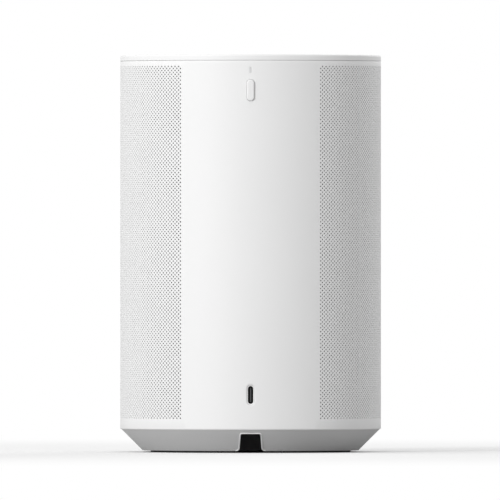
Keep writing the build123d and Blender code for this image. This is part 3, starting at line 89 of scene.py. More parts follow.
WELD = 0.004 * MM  # points closer than this are one point
RIM_SLACK = 5 * WELD  # how far a point may lie off a rim and still belong to it
SHARP_ANGLE = math.radians(32)
ROUND_PROFILE = 0.5  # a bevel's profile that gives an arc
UPRIGHT = Matrix.Rotation(math.radians(90), 4, "X")  # stands a shape drawn in plan up, facing -Y
PURE_WHITE = "ffffff"
LOG = logging.getLogger("speaker")

# The sRGB curve: a straight line near black, and a power curve above it.
SRGB_KNEE = 0.04045
SRGB_SLOPE = 12.92
SRGB_OFFSET = 0.055
SRGB_POWER = 2.4

# Sockets of the Mix node, which go by number because their names repeat.
MIX_SHARE = 0
MIX_VALUES = (2, 3)
MIX_COLOURS = (6, 7)
MIX_COLOUR_OUT = 2

WAVE_REPEAT = math.pi / 10  # turns repeats per metre into a wave texture's scale
THREAD_WAVER = 0.4
GRAIN_DETAIL = 3.0
PATCH_DETAIL = 2.0
COAT_ROUGHNESS = 0.2
SHEEN_ROUGHNESS = 0.5

# Where the drive units' rings lie.
TWEETER_SPLAY = math.radians(55)
TWEETER_HUB_Y = -5.25 * MM
TWEETER_REACH = 38.0 * MM

Colour = tuple[float, float, float, float]
Box = tuple[Vector, Vector]


def srgb(code: str) -> Colour:
    """Turns an sRGB hex colour to linear.

    Args:
        code: six hex digits, such as "f2f1ee".

    Returns:
        Linear red, green, blue and an alpha of 1.
    """
    channels = [int(code[index : index + 2], 16) / 255 for index in (0, 2, 4)]
    red, green, blue = (
        c / SRGB_SLOPE if c <= SRGB_KNEE else ((c + SRGB_OFFSET) / (1 + SRGB_OFFSET)) ** SRGB_POWER
        for c in channels
    )
    return (red, green, blue, 1.0)


def add_node(
    tree: NodeTree,
    kind: str,
    inputs: dict[str | int, Any] | None = None,
    **settings: Any,
) -> Node:
    """Adds a shader node, sets it up and links it.

    Args:
        tree: the node tree that gets the node.
        kind: the node's type, without its "ShaderNode" prefix.
        inputs: a value, or another node's output socket, for each named or numbered input.
        settings: attributes of the node.

    Returns:
        The new node.
    """
    node = tree.nodes.new("ShaderNode" + kind)
    for name, value in settings.items():
        setattr(node, name, value)
    for name, value in (inputs or {}).items():
        if isinstance(value, NodeSocket):
            tree.links.new(value, node.inputs[name])
        else:
            node.inputs[name].default_value = value
    return node


def mix_colours(tree: NodeTree, share: NodeSocket, first: str, second: str) -> NodeSocket:
    """Mixes two colours by a share from 0 to 1.

    Args:
        tree: the node tree that gets the node.
        share: how much there is of the second colour.
        first: an sRGB colour.
        second: an sRGB colour.

    Returns:
        The mixed colour.
    """
    inputs = {MIX_SHARE: share, MIX_COLOURS[0]: srgb(first), MIX_COLOURS[1]: srgb(second)}
    return add_node(tree, "Mix", inputs, data_type="RGBA").outputs[MIX_COLOUR_OUT]


@cache
def frame_box(node: str) -> Box:
    """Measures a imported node.

    Args:
        node: the node's name.

    Returns:
        Its low and its high corner.
    """
    low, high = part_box(node)
    return Vector(low), Vector(high)


# ---------------------------------------------------------------- finishes
class Grain(Enum):
    """How a surface's fine relief runs."""

    SPARK = "even pits of a spark-eroded mould"
    BRUSHED = "scratches, drawn out by the finish's grain axis"
    TURNED = "fine rings or windings"
    WOVEN = "crossed threads"
    FOAM = "open cells"


@dataclass(frozen=True)
class Finish:
    """One procedural finish: two close colours, a gloss range and a fine relief.

    Args:
        name: what the material is called.
        colour: its main sRGB colour.
        shade: the sRGB colour that it drifts to in patches.
        roughness: the middle of its roughness.
        spread: how far the roughness swings each way.
        grain: the kind of relief.
        grain_mm: real size of one pit, scratch, ring or thread.
        relief_mm: depth of the relief.
        patch_mm: size of the colour patches.
        metallic: 1 for bare metal.
        ior: index of refraction.
        coat: weight of a clear layer.
        sheen: weight of the soft glow of fibres.
        grain_axis: how densely the grain repeats along X, Y and Z.
    """

    name: str
    colour: str
    shade: str
    roughness: float = 0.5
    spread: float = 0.06
    grain: Grain = Grain.SPARK
    grain_mm: float = 0.6
    relief_mm: float = 0.015
    patch_mm: float = 40.0
    metallic: float = 0.0
    ior: float = 1.5
    coat: float = 0.0
    sheen: float = 0.0
    grain_axis: tuple[float, float, float] = (1.0, 1.0, 1.0)

    def relief(self, tree: NodeTree, coords: NodeSocket) -> NodeSocket:
        """Builds the fine pattern.

        Args:
            tree: the material's node tree.
            coords: the coordinates that the pattern follows, in metres.

        Returns:
            The pattern's height, from 0 to 1.
        """
        scale = 1 / (self.grain_mm * MM)
        if self.grain is Grain.FOAM:
            return add_node(tree, "TexVoronoi", {"Vector": coords, "Scale": scale}).outputs["Distance"]
        if self.grain in (Grain.WOVEN, Grain.TURNED):
            waves = []
            for direction in ("X", "Z") if self.grain is Grain.WOVEN else ("Z",):
                wave = add_node(
                    tree,
                    "TexWave",
                    {"Vector": coords, "Scale": scale * WAVE_REPEAT, "Distortion": THREAD_WAVER},
                    bands_direction=direction,
                )
                waves.append(wave.outputs["Fac"])
            if len(waves) == 1:
                return waves[0]
            return add_node(tree, "Math", {0: waves[0], 1: waves[1]}, operation="MAXIMUM").outputs[0]
        stretched = add_node(tree, "Mapping", {"Vector": coords, "Scale": self.grain_axis})
        vector = stretched.outputs["Vector"]
        noise = add_node(tree, "TexNoise", {"Vector": vector, "Scale": scale, "Detail": GRAIN_DETAIL})
        return noise.outputs["Fac"]

    def build(self) -> Material:
        """Makes the material.

        Returns:
            The finished material.
        """
        material = bpy.data.materials.new(self.name)
        material.use_nodes = True
        tree = material.node_tree
        tree.nodes.clear()
        coords = add_node(tree, "TexCoord").outputs["Object"]
        patches = add_node(
            tree,
            "TexNoise",
            {"Vector": coords, "Scale": 1 / (self.patch_mm * MM), "Detail": PATCH_DETAIL},
        )
        height = self.relief(tree, coords)
        tint = mix_colours(tree, patches.outputs["Fac"], self.colour, self.shade)
        smoothest, roughest = self.roughness - self.spread, self.roughness + self.spread
        gloss = add_node(tree, "MapRange", {"Value": height, "To Min": smoothest, "To Max": roughest})
        depth = self.relief_mm * MM
        bump = add_node(tree, "Bump", {"Height": height, "Strength": 1.0, "Distance": depth})
        shader = add_node(
            tree,
            "BsdfPrincipled",
            {
                "Base Color": tint,
                "Roughness": gloss.outputs["Result"],
                "Normal": bump.outputs["Normal"],
                "Metallic": self.metallic,
                "IOR": self.ior,
                "Coat Weight": self.coat,
                "Coat Roughness": COAT_ROUGHNESS,
                "Sheen Weight": self.sheen,
                "Sheen Roughness": SHEEN_ROUGHNESS,
            },
        )
        add_node(tree, "OutputMaterial", {"Surface": shader.outputs["BSDF"]})
        return material


@dataclass(frozen=True)
class CircuitFinish(Finish):
    """Solder mask over copper tracks, which show as slightly raised lines."""

    track_mm: float = 1.6
    scatter: float = 0.6
    gap_share: float = 0.34

    def relief(self, tree: NodeTree, coords: NodeSocket) -> NodeSocket:
        """Builds the tracks.

        Args:
            tree: the material's node tree.
            coords: coordinates in metres.

        Returns:
            The tracks' height, from 0 to 1.
        """
        cells = add_node(
            tree,
            "TexVoronoi",
            {"Vector": coords, "Scale": 1 / (self.track_mm * MM), "Randomness": self.scatter},
            distance="CHEBYCHEV",
        )
        ramp = add_node(tree, "ValToRGB", {"Fac": cells.outputs["Distance"]})
        ramp.color_ramp.interpolation = "CONSTANT"
        ramp.color_ramp.elements[1].position = self.gap_share
        return ramp.outputs["Color"]


# Moulded ABS from a spark-eroded tool: almost white, matt, with a faint sandy break-up of the highlight.
HOUSING = Finish("moulded_white_abs", "f3f3f3", "f0f0f0", 0.52, 0.05, grain_mm=0.55, relief_mm=0.006)
# The same white plastic with a flat matt texture, its colour darkened to light grey to paint the shade
# that falls on the base's downward-leaning taper.
BASE_PAINTED_SHADE = Finish("white_abs_base_painted_shade", "d4d4d4", "d0d0d0", 0.6, 0.05, grain_mm=0.5, relief_mm=0.008)
# A smoother, satin moulding, so the button's edge catches a thin highlight.
BUTTON = Finish("satin_white_abs", "f2f2f2", "eeeeee", 0.38, 0.04, grain_mm=0.4, relief_mm=0.003)

FINISHES: dict[str, Finish] = {
    "housing_white": HOUSING,
    "base_white": BASE_PAINTED_SHADE,
    "button_white": BUTTON,
    # Frosted polycarbonate light guide: milky grey when unlit.
    "light_guide": Finish("frosted_polycarbonate", "dededf", "d9d9da", 0.45, 0.05, ior=1.58, coat=0.2),
    # Moulded silicone rubber: dull, its colour lightened from near black to dark grey to paint light on
    # the foot line in the shade under the base.
    "foot_rubber": Finish("silicone_rubber_painted_light", "4c4c4e", "565658", 0.82, 0.08, grain_mm=0.7),
    # Glass-filled black polyamide with a coarse mould texture, its colour lightened to mid grey to paint
    # light into the shadowed cord notch.
    "inlet_black": Finish(
        "black_polyamide_painted_light", "909092", "969698", 0.62, 0.08, grain_mm=0.5, relief_mm=0.03
    ),
    # Nickel plate on stamped steel: bright and slightly warm.
    "nickel": Finish(
        "nickel_plate", "c9c5bd", "bdb9b1", 0.24, 0.05, Grain.BRUSHED, 0.3, 0.002, metallic=1.0
    ),
    # Drawn steel of the data socket, its colour darkened to paint the shade inside its narrow mouth.
    "port_shell_painted_shade": Finish(
        "steel_shell_painted_shade", "403f3d", "383735", 0.4, 0.05, Grain.BRUSHED, 0.3, 0.002, metallic=1.0
    ),
    # Moulded liquid-crystal polymer, the grey tongue of the data socket: plain and satin.
    "contact_grey": Finish("grey_contact_polymer", "6a6b6d", "5f6062", 0.45, 0.05, grain_mm=0.3),
    # Warp-knitted acoustic cloth: grey threads with small gaps, darkened to paint the shade seen through
    # the housing's holes.
    "speaker_cloth": Finish(
        "acoustic_knit_painted_shade", "6e6f71", "66676a", 0.9, 0.05, Grain.WOVEN, 0.45, 0.08, sheen=0.3
    ),
    # Pad-printed grey ink, matt and almost without thickness.
    "touch_ink": Finish("printed_grey_ink", "8f9091", "8a8b8c", 0.6, 0.04, grain_mm=0.3, relief_mm=0.002),
    # Moulded black polyamide of the small switch: satin, with a fine grain.
    "switch_black": Finish("switch_polyamide", "202021", "2a2a2b", 0.5, 0.05, grain_mm=0.3),
    # Green solder mask, glossy, over raised copper tracks.
    "circuit_board": CircuitFinish(
        "solder_mask", "0f4a2a", "0c3f24", 0.32, 0.08, relief_mm=0.03, coat=0.3
    ),
    # Black ABS from a coarse tool: charcoal, with a dull, pebbled highlight.
    "cabinet_black": Finish(
        "black_abs_cabinet", "28282a", "303032", 0.58, 0.08, grain_mm=0.8, relief_mm=0.03
    ),
    # Butyl rubber from a smooth mould: deep black with a broad soft highlight.
    "soft_rubber": Finish("butyl_rubber", "1a1a1b", "232324", 0.7, 0.08, grain_mm=0.9, relief_mm=0.01),
    # Die-cut closed-cell foam: dead matt, with its small cells open at the cut.
    "gasket_foam": Finish("closed_cell_foam", "343436", "2b2b2d", 0.95, 0.03, Grain.FOAM, 0.6, 0.15),
    # Zinc-plated turned screws: cool grey, with a slightly broken shine.
    "steel": Finish(
        "zinc_plated_steel", "9da0a3", "8b8e92", 0.34, 0.08, Grain.BRUSHED, 0.5, 0.004, metallic=1.0
    ),
    # Brass turned on a lathe: warm yellow with fine rings.
    "brass": Finish(
        "turned_brass", "c9a86a", "b8965a", 0.3, 0.06, Grain.TURNED, 0.3, 0.006, metallic=1.0
    ),
    # Steel dipped in black electrocoat: an even satin film.
    "painted_steel": Finish("black_e_coat", "1c1c1d", "272728", 0.42, 0.06, grain_mm=0.7, coat=0.2),
    # Pressed paper pulp: fibres show as a soft mottling.
    "cone_paper": Finish(
        "pressed_pulp", "222223", "323233", 0.85, 0.06, grain_mm=0.8, relief_mm=0.06, patch_mm=3
    ),
    # Enamelled copper wound side by side: reddish, ribbed along the winding.
    "copper": Finish(
        "enamelled_copper", "b4683c", "9c5530", 0.3, 0.08, Grain.TURNED, 0.35, 0.05, metallic=1.0
    ),
    # Cotton woven, soaked in phenolic resin and pressed hot: amber cloth, dry to the eye.
    "spider_cloth": Finish(
        "phenolic_cotton", "9a7a3c", "86692f", 0.88, 0.05, Grain.WOVEN, 0.6, 0.1, sheen=0.2
    ),
    # Sintered and ground ferrite: dark grey, gritty and blotched.
    "ferrite": Finish(
        "sintered_ferrite", "3a3b3e", "2c2d30", 0.66, 0.1, grain_mm=0.9, relief_mm=0.05, patch_mm=8
    ),
    # Woven silk with a damping coat: near black, with the threads just showing.
    "dome_silk": Finish("coated_silk", "1b1b1e", "25252a", 0.55, 0.08, Grain.WOVEN, 0.4, 0.03, sheen=0.2),
    # Transfer-moulded epoxy round a chip: flat black, finely matt.
    "chip_black": Finish("moulded_epoxy", "1e1e1f", "28282a", 0.6, 0.05, grain_mm=0.3),
    # Extruded aluminium: pale, with die lines that run along the length.
    "aluminium": Finish(
        "extruded_aluminium", "b9bbbe", "a9abae", 0.36, 0.08, Grain.BRUSHED, 0.6, 0.006,
        metallic=1.0, grain_axis=(1.0, 1.0, 0.05),
    ),
    # Polyester tape wound on a bobbin: yellow, smooth and shiny.
    "winding_tape": Finish("polyester_tape", "c9a62e", "b89526", 0.35, 0.05, grain_mm=1.2, coat=0.3),
    # Heat-shrunk plastic sleeve: dark blue, tight and glossy.
    "capacitor_sleeve": Finish("shrink_sleeve", "182036", "121929", 0.3, 0.05, grain_mm=1.5, coat=0.4),
    # Moulded plastic case of a film capacitor: ochre and satin.
    "film_capacitor": Finish("moulded_case", "b08f36", "a0802c", 0.45, 0.05, grain_mm=0.6),
    # Extruded silicone over wire: red, soft-looking.
    "wire_insulation": Finish("silicone_insulation", "86201a", "741a15", 0.5, 0.06, grain_mm=0.8),
}  # fmt: skip

# Nodes whose finish differs from the rest of their slot: the data socket's shell, darkened for painted
# shade.
SPECIAL: dict[str, str] = {"usb_shell": "port_shell_painted_shade"}


class Wardrobe:
    """Builds each finish once and hands it out by the record's slot name."""

    def __init__(self) -> None:
        """Makes an empty store."""
        self.made: dict[str, Material] = {}

    def material(self, slot: str) -> Material:
        """Gives the material of a slot, building it on first use.

        Args:
            slot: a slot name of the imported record, or another key of FINISHES.

        Returns:
            The material.
        """
        if slot not in self.made:
            self.made[slot] = FINISHES[slot].build()
        return self.made[slot]

    def dress(self, piece: Object, slot: str) -> None:
        """Puts a material on the whole of a piece.

        Args:
            piece: the object.
            slot: a key of FINISHES.
        """
        piece.data.materials.clear()
        piece.data.materials.append(self.material(slot))


# ---------------------------------------------------------------- mesh helpers
def mesh_from(name: str, bm: BMesh) -> Mesh:
    """Turns a bmesh into a smooth-shaded mesh with sharp corners.

    Args:
        name: the mesh's name.
        bm: the bmesh, which is freed.

    Returns:
        The mesh.
    """
    mesh = bpy.data.meshes.new(name)
    bm.to_mesh(mesh)
    bm.free()
    mesh.shade_smooth()
    mesh.set_sharp_from_angle(angle=SHARP_ANGLE)
    return mesh


def show_piece(
    name: str,
    shape: BMesh | Mesh,
    wardrobe: Wardrobe,
    slot: str,
    nodes: Sequence[str],
    body: str = ENCLOSURE,
) -> Object:
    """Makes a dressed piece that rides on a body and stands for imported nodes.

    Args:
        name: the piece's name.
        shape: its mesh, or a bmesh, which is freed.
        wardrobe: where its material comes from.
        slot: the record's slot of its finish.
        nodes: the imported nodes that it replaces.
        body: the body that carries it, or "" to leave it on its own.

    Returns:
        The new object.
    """
    mesh = mesh_from(name, shape) if isinstance(shape, BMesh) else shape
    piece = bpy.data.objects.new(name, mesh)
    bpy.context.scene.collection.objects.link(piece)
    wardrobe.dress(piece, slot)
    if nodes:
        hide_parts(*nodes)
    if body:
        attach(piece, body)
    LOG.info("%s: %d faces", name, len(mesh.polygons))
    return piece


def verts_of(geometry: Iterable[Any]) -> list[BMVert]:
    """Picks the vertices out of what a bmesh operator made.

    Args:
        geometry: vertices, edges and faces.

    Returns:
        The vertices.
    """
    return [item for item in geometry if isinstance(item, BMVert)]


def repeat(bm: BMesh, count: int, step: Vector) -> None:
    """Copies all of a bmesh's geometry in a row.

    Args:
        bm: the bmesh, which gets the copies.
        count: how many there are in the end, with the first.
        step: from one copy to the next.
    """
    source = bm.verts[:] + bm.edges[:] + bm.faces[:]
    for index in range(1, count):
        made = bmesh.ops.duplicate(bm, geom=source)["geom"]
        bmesh.ops.translate(bm, verts=verts_of(made), vec=step * index)


def add_patch(
    bm: BMesh,
    across: tuple[float, float],
    up: tuple[float, float],
    columns: int,
    rows: int = 1,
) -> None:
    """Adds an upright plain grid that faces -Y.

    Args:
        bm: the bmesh that gets it.
        across: its low and high X.
        up: its low and high Z.
        columns: how many faces it has side by side.
        rows: how many it has one above the other.
    """
    width, height = across[1] - across[0], up[1] - up[0]
    place = Matrix.Translation(((across[0] + across[1]) / 2, 0, (up[0] + up[1]) / 2))
    size = Matrix.Diagonal((width / 2, height / 2, 1, 1))
    matrix = place @ UPRIGHT @ size
    bmesh.ops.create_grid(bm, x_segments=columns, y_segments=rows, size=1, matrix=matrix)


def fill_flat(bm: BMesh, edges: list[BMEdge]) -> None:
    """Fills the area between borders with triangles that face -Y."""
    bmesh.ops.triangle_fill(bm, use_beauty=True, use_dissolve=False, edges=edges, normal=(0, -1, 0))


def bevel_where(bm: BMesh, edges: Iterable[BMEdge], width: float, segments: int) -> None:
    """Rounds edges with an even bevel.

    Args:
        bm: the bmesh.
        edges: the edges.
        width: of the bevel on each side.
        segments: how many strips make it.
    """
    bmesh.ops.bevel(
        bm,
        geom=list(edges),
        offset=width,
        offset_type="OFFSET",
        affect="EDGES",
        segments=segments,
        profile=ROUND_PROFILE,
        material=-1,
        clamp_overlap=True,
    )


# ---------------------------------------------------------------- housing
@dataclass
class Oval:
    """The body's outline: two half circles joined by short straights.

    Args:
        radius: of the half circles.
        half_straight: half of each straight.
    """

    radius: float
    half_straight: float

    @property
    def half_length(self) -> float:
        """Half of the outline's length, from the middle of the front to the middle of the back."""
        return math.pi * self.radius + 2 * self.half_straight

    def wrap(self, mesh: Mesh, along: float = 0.0) -> None:
        """Bends a flat mesh round the outline.

        A flat X is a distance along the outline from the middle of the front.  A flat Y is a depth
        inwards.

        Args:
            mesh: the flat mesh, which is bent in place.
            along: added to every X first.
        """
        flat = np.empty(len(mesh.vertices) * 3, np.float32)
        mesh.vertices.foreach_get("co", flat)
        flat = flat.reshape(-1, 3).astype(float)
        normals = np.empty(len(mesh.loops) * 3, np.float32)
        mesh.corner_normals.foreach_get("vector", normals)
        normals = normals.reshape(-1, 3)
        corners = np.empty(len(mesh.loops), np.int32)
        mesh.loops.foreach_get("vertex_index", corners)
        run = (flat[:, 0] + along + self.half_length) % (2 * self.half_length) - self.half_length
        side, run = np.where(run < 0, -1.0, 1.0), np.abs(run)
        reach = self.radius - flat[:, 1]
        quarter = self.radius * math.pi / 2
        front = np.minimum(run, quarter) / self.radius
        back = np.maximum(run - quarter - 2 * self.half_straight, 0) / self.radius
        straight = np.clip(run - quarter, 0, 2 * self.half_straight)
        sine, cosine = side * np.sin(front + back), np.cos(front + back)
        flat[:, 0] = reach * sine
        flat[:, 1] = straight - self.half_straight - reach * cosine
        mesh.vertices.foreach_set("co", flat.astype(np.float32).ravel())
        sine, cosine = sine[corners], cosine[corners]
        turned = normals.copy()
        turned[:, 0] = normals[:, 0] * cosine - normals[:, 1] * sine
        turned[:, 1] = normals[:, 0] * sine + normals[:, 1] * cosine
        mesh.normals_split_custom_set(turned)
        mesh.update()


@dataclass
class Window:
    """An upright round-ended opening in the spine.

    Args:
        node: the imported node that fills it, which gives its place and size.
        gap: clearance round the length and width.
        bevel: width of the sloped rim.
        length: what the opening goes round, or 0 to take it from the node.
        width: the same across.
    """

    node: str
    gap: float
    bevel: float
    length: float = 0.0
    width: float = 0.0

    def height(self) -> float:
        """Height of the opening's middle."""
        low, high = frame_box(self.node)
        return (low.z + high.z) / 2

    def size(self) -> tuple[float, float]:
        """Length and width of the opening."""
        low, high = frame_box(self.node)
        length = self.length or high.z - low.z
        width = self.width or high.x - low.x
        return length + 2 * self.gap, width + 2 * self.gap


@dataclass
class PerforatedSleeve:
    """The housing's sleeve: a solid spine, solid edges and staggered round holes everywhere else.

    Args:
        oval: the body's outline.
        wall: thickness of the wall.
        hole_radius: radius of a hole.
        hole_sides: corners of a hole.
        row_pitch: from one hole to the next above it.
        rows: holes in a column.
        first_row: height of the lowest hole.
        spine_half_chord: from the middle of the spine to the middle of the first column of holes.
        panels: pieces that the perforated part is made in.
        pairs: pairs of columns in a panel.
        lower_round: rounding of the lower outer edge.
        lower_steps: strips of that rounding.
        upper_round: rounding of the upper outer edge.
        upper_steps: strips of that rounding.
        spine_cell: size of a face of the plain spine.
        margin: width of the filled border round an opening.
        window_sides: corners of an opening.
        window_steps: strips of an opening's bevel.
    """

    oval: Oval
    wall: float = 1.2 * MM
    hole_radius: float = 0.42 * MM
    hole_sides: int = 8
    row_pitch: float = 1.8 * MM
    rows: int = 90
    first_row: float = 15.9 * MM
    spine_half_chord: float = 32.2 * MM
    panels: int = 12
    pairs: int = 14
    lower_round: float = 0.6 * MM
    lower_steps: int = 3
    upper_round: float = 0.2 * MM
    upper_steps: int = 2
    spine_cell: float = 1.2 * MM
    margin: float = 0.7 * MM
    window_sides: int = 40
    window_steps: int = 2

    def __post_init__(self) -> None:
        """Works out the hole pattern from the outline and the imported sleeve's height."""
        low, high = frame_box("sleeve")
        self.bottom, self.top = low.z, high.z
        spine_run = self.oval.radius * math.asin(self.spine_half_chord / self.oval.radius)
        self.last = self.oval.half_length - spine_run
        self.step = 2 * self.last / (self.panels * self.pairs * 2)

    def cell(self) -> BMesh:
        """Makes one diamond of wall with its hole.

        Returns:
            A flat bmesh whose hole is at the first row.
        """
        bm = bmesh.new()
        place = Matrix.Translation((0, 0, self.first_row)) @ UPRIGHT
        bmesh.ops.create_circle(bm, segments=self.hole_sides, radius=self.hole_radius, matrix=place)
        for vert in verts_of(bmesh.ops.extrude_edge_only(bm, edges=bm.edges[:])["geom"]):
            across = vert.co.x / self.hole_radius
            up = (vert.co.z - self.first_row) / self.hole_radius
            share = abs(across) + abs(up)
            vert.co.x = across / share * self.step
            vert.co.z = self.first_row + up / share * self.row_pitch / 2
        return bm

    def columns(self, count: int) -> BMesh:
        """Makes neighbouring columns of holes, the first one unshifted, with the wall above and below.

        Args:
            count: one column, or an even number of them.

        Returns:
            A flat bmesh whose first column is at X = 0.
        """
        bm = self.cell()
        repeat(bm, self.rows, Vector((0, 0, self.row_pitch)))
        if count > 1:
            repeat(bm, 2, Vector((self.step, 0, self.row_pitch / 2)))
            repeat(bm, count // 2, Vector((2 * self.step, 0, 0)))
        bmesh.ops.remove_doubles(bm, verts=bm.verts[:], dist=WELD)
        shift = self.row_pitch / 2 if count > 1 else 0
        crown = self.first_row + (self.rows - 1) * self.row_pitch + shift - WELD
        rim = [e for e in bm.edges if self.is_outline(e)]
        if count > 1:
            upper = [e for e in rim if min(v.co.z for v in e.verts) > crown]
            self.grow(bm, upper, "z", self.top)
        sill = self.first_row + WELD
        lower = [e for e in rim if max(v.co.z for v in e.verts) < sill]
        self.grow(bm, lower, "z", self.bottom)
        return bm

    @staticmethod
    def grow(bm: BMesh, edges: list[BMEdge], axis: str, value: float) -> list[Any]:
        """Extends edges to a straight line.

        Args:
            bm: the bmesh.
            edges: the edges to extend.
            axis: "x" or "z", the way that they go.
            value: where the line is on that axis.

        Returns:
            The new geometry.
        """
        made = bmesh.ops.extrude_edge_only(bm, edges=edges)["geom"]
        for vert in verts_of(made):
            setattr(vert.co, axis, value)
        return made

    def is_outline(self, edge: BMEdge) -> bool:
        """Tells whether an edge borders the skin itself, and not one of its round holes."""
        return edge.is_boundary and edge.calc_length() > self.hole_radius

    def thicken(self, bm: BMesh) -> None:
        """Gives a flat skin its thickness, inwards, and rounds its lower and upper outer edges.

        Args:
            bm: the flat bmesh.
        """
        bmesh.ops.remove_doubles(bm, verts=bm.verts[:], dist=WELD)
        made = bmesh.ops.extrude_face_region(bm, geom=bm.faces[:], use_keep_orig=True)["geom"]
        bmesh.ops.translate(bm, verts=verts_of(made), vec=(0, self.wall, 0))
        bmesh.ops.recalc_face_normals(bm, faces=bm.faces[:])
        for height, width, segments in (
            (self.bottom, self.lower_round, self.lower_steps),
            (self.top, self.upper_round, self.upper_steps),
        ):
            line = [
                e
                for e in bm.edges
                if all(abs(v.co.z - height) < WELD and abs(v.co.y) < WELD for v in e.verts)
            ]
            bevel_where(bm, line, width, segments)

    def add_window(self, bm: BMesh, window: Window, middle: float) -> None:
        """Cuts one opening into the spine's flat grid.

        Args:
            bm: the flat bmesh.
            window: the opening.
            middle: X of the spine's middle.
        """
        length, width = window.size()
        centre = Vector((middle, 0, window.height()))
        reach = Vector((width / 2 + self.margin, 0, length / 2 + self.margin))
        gone = []
        for face in bm.faces:
            away = face.calc_center_median() - centre
            if abs(away.x) < reach.x and abs(away.z) < reach.z:
                gone.append(face)
        border = {e for f in gone for e in f.edges}
        bmesh.ops.delete(bm, geom=gone, context="FACES")
        border = [e for e in border if e.is_valid and e.is_boundary]
        place = Matrix.Translation(centre) @ UPRIGHT
        circle = bmesh.ops.create_circle(
            bm, segments=self.window_sides, radius=width / 2, matrix=place
        )
        for vert in circle["verts"]:
            offset = vert.co.z - centre.z
            if abs(offset) > WELD:
                vert.co.z += math.copysign((length - width) / 2, offset)
        rim = list({e for v in circle["verts"] for e in v.link_edges})
        fill_flat(bm, border + rim)

    def join_sides(self, bm: BMesh, left: float, right: float) -> None:
        """Fills the narrow upright strip between two borders with differently spaced points.

        Args:
            bm: the flat bmesh.
            left: X of one border.
            right: X of the other.
        """
        ends = {}
        border = []
        for position in (left, right):
            line = [
                e
                for e in bm.edges
                if e.is_boundary and all(abs(v.co.x - position) < WELD for v in e.verts)
            ]
            border += line
            points = sorted({v for e in line for v in e.verts}, key=lambda v: v.co.z)
            ends[position] = (points[0], points[-1])
        for start, end in zip(ends[left], ends[right]):
            border.append(bm.edges.new((start, end)))
        fill_flat(bm, border)

    def spine(self, wardrobe: Wardrobe, windows: Sequence[Window]) -> None:
        """Builds the smooth spine with its openings and the last column of holes.

        Args:
            wardrobe: where the material comes from.
            windows: the openings.
        """
        bm = self.columns(1)
        rim = [e for e in bm.edges if self.is_outline(e) and min(v.co.x for v in e.verts) > -WELD]
        rim = [e for e in rim if max(v.co.z for v in e.verts) > self.bottom + WELD]
        edge = 2 * self.step
        side = self.grow(bm, rim, "x", edge)
        tip = self.first_row + (self.rows - 0.5) * self.row_pitch
        lid = [e for e in bm.edges if e.is_boundary and all(abs(v.co.z - tip) < WELD for v in e.verts)]
        side += self.grow(bm, lid, "z", self.top)
        faces = [f for f in side if isinstance(f, BMFace)]
        middle = self.oval.half_length - self.last
        for vert in verts_of(bmesh.ops.duplicate(bm, geom=faces)["geom"]):
            vert.co.x = 2 * middle - vert.co.x
        inner = edge + self.spine_cell
        across = 2 * round((middle - inner) / self.spine_cell)
        up = round((self.top - self.bottom) / self.spine_cell)
        add_patch(bm, (inner, 2 * middle - inner), (self.bottom, self.top), across, up)
        for window in windows:
            self.add_window(bm, window, middle)
        self.join_sides(bm, edge, inner)
        self.join_sides(bm, 2 * middle - inner, 2 * middle - edge)
        self.thicken(bm)
        for window in windows:
            self.bevel_window(bm, window, middle)
        piece = show_piece("sleeve_spine", bm, wardrobe, "housing_white", ["sleeve"])
        self.oval.wrap(piece.data, self.last)

    def bevel_window(self, bm: BMesh, window: Window, middle: float) -> None:
        """Slopes the outer rim of an opening.

        Args:
            bm: the thickened bmesh.
            window: the opening.
            middle: X of the spine's middle.
        """
        length, width = window.size()
        run = (length - width) / 2

        def on_rim(vert: BMVert) -> bool:
            """Tells whether a vertex lies on the opening's outer edge."""
            up = max(abs(vert.co.z - window.height()) - run, 0)
            off = abs(math.hypot(vert.co.x - middle, up) - width / 2)
            return abs(vert.co.y) < WELD and off < RIM_SLACK

        rim = [e for e in bm.edges if all(on_rim(v) for v in e.verts)]
        bevel_where(bm, rim, window.bevel, self.window_steps)

    def build(self, wardrobe: Wardrobe, windows: Sequence[Window]) -> None:
        """Builds every panel and the spine.

        Args:
            wardrobe: where the material comes from.
            windows: the spine's openings.
        """
        flat = self.columns(2 * self.pairs)
        self.thicken(flat)
        pattern = mesh_from("sleeve_panel", flat)
        for index in range(self.panels):
            name = f"sleeve_panel_{index + 1:02d}"
            piece = show_piece(name, pattern.copy(), wardrobe, "housing_white", ["sleeve"])
            self.oval.wrap(piece.data, -self.last + index * 2 * self.pairs * self.step)
        bpy.data.meshes.remove(pattern)
        self.spine(wardrobe, windows)


@dataclass
class AcousticCloth:
    """Knitted cloth stretched behind the holes, from one side of the spine to the other.

    Args:
        oval: the body's outline.
        depth: how far the cloth lies inside it.
        columns: faces along the cloth.
    """

    oval: Oval
    depth: float = 2.45 * MM
    columns: int = 240

    def build(self, wardrobe: Wardrobe) -> Object:
        """Returns:
            The cloth.
        """
        low, high = frame_box("acoustic_liner")
        end_y = high.y - self.oval.half_straight
        inner = self.oval.radius - self.depth
        opening = math.acos(min(end_y / inner, 1.0))
        reach = self.oval.half_length - self.oval.radius * opening
        bm = bmesh.new()
        add_patch(bm, (-reach, reach), (low.z, high.z), self.columns)
        for vert in bm.verts:
            vert.co.y += self.depth
        piece = show_piece("acoustic_cloth", bm, wardrobe, "speaker_cloth", ["acoustic_liner"])
        self.oval.wrap(piece.data)
        return piece


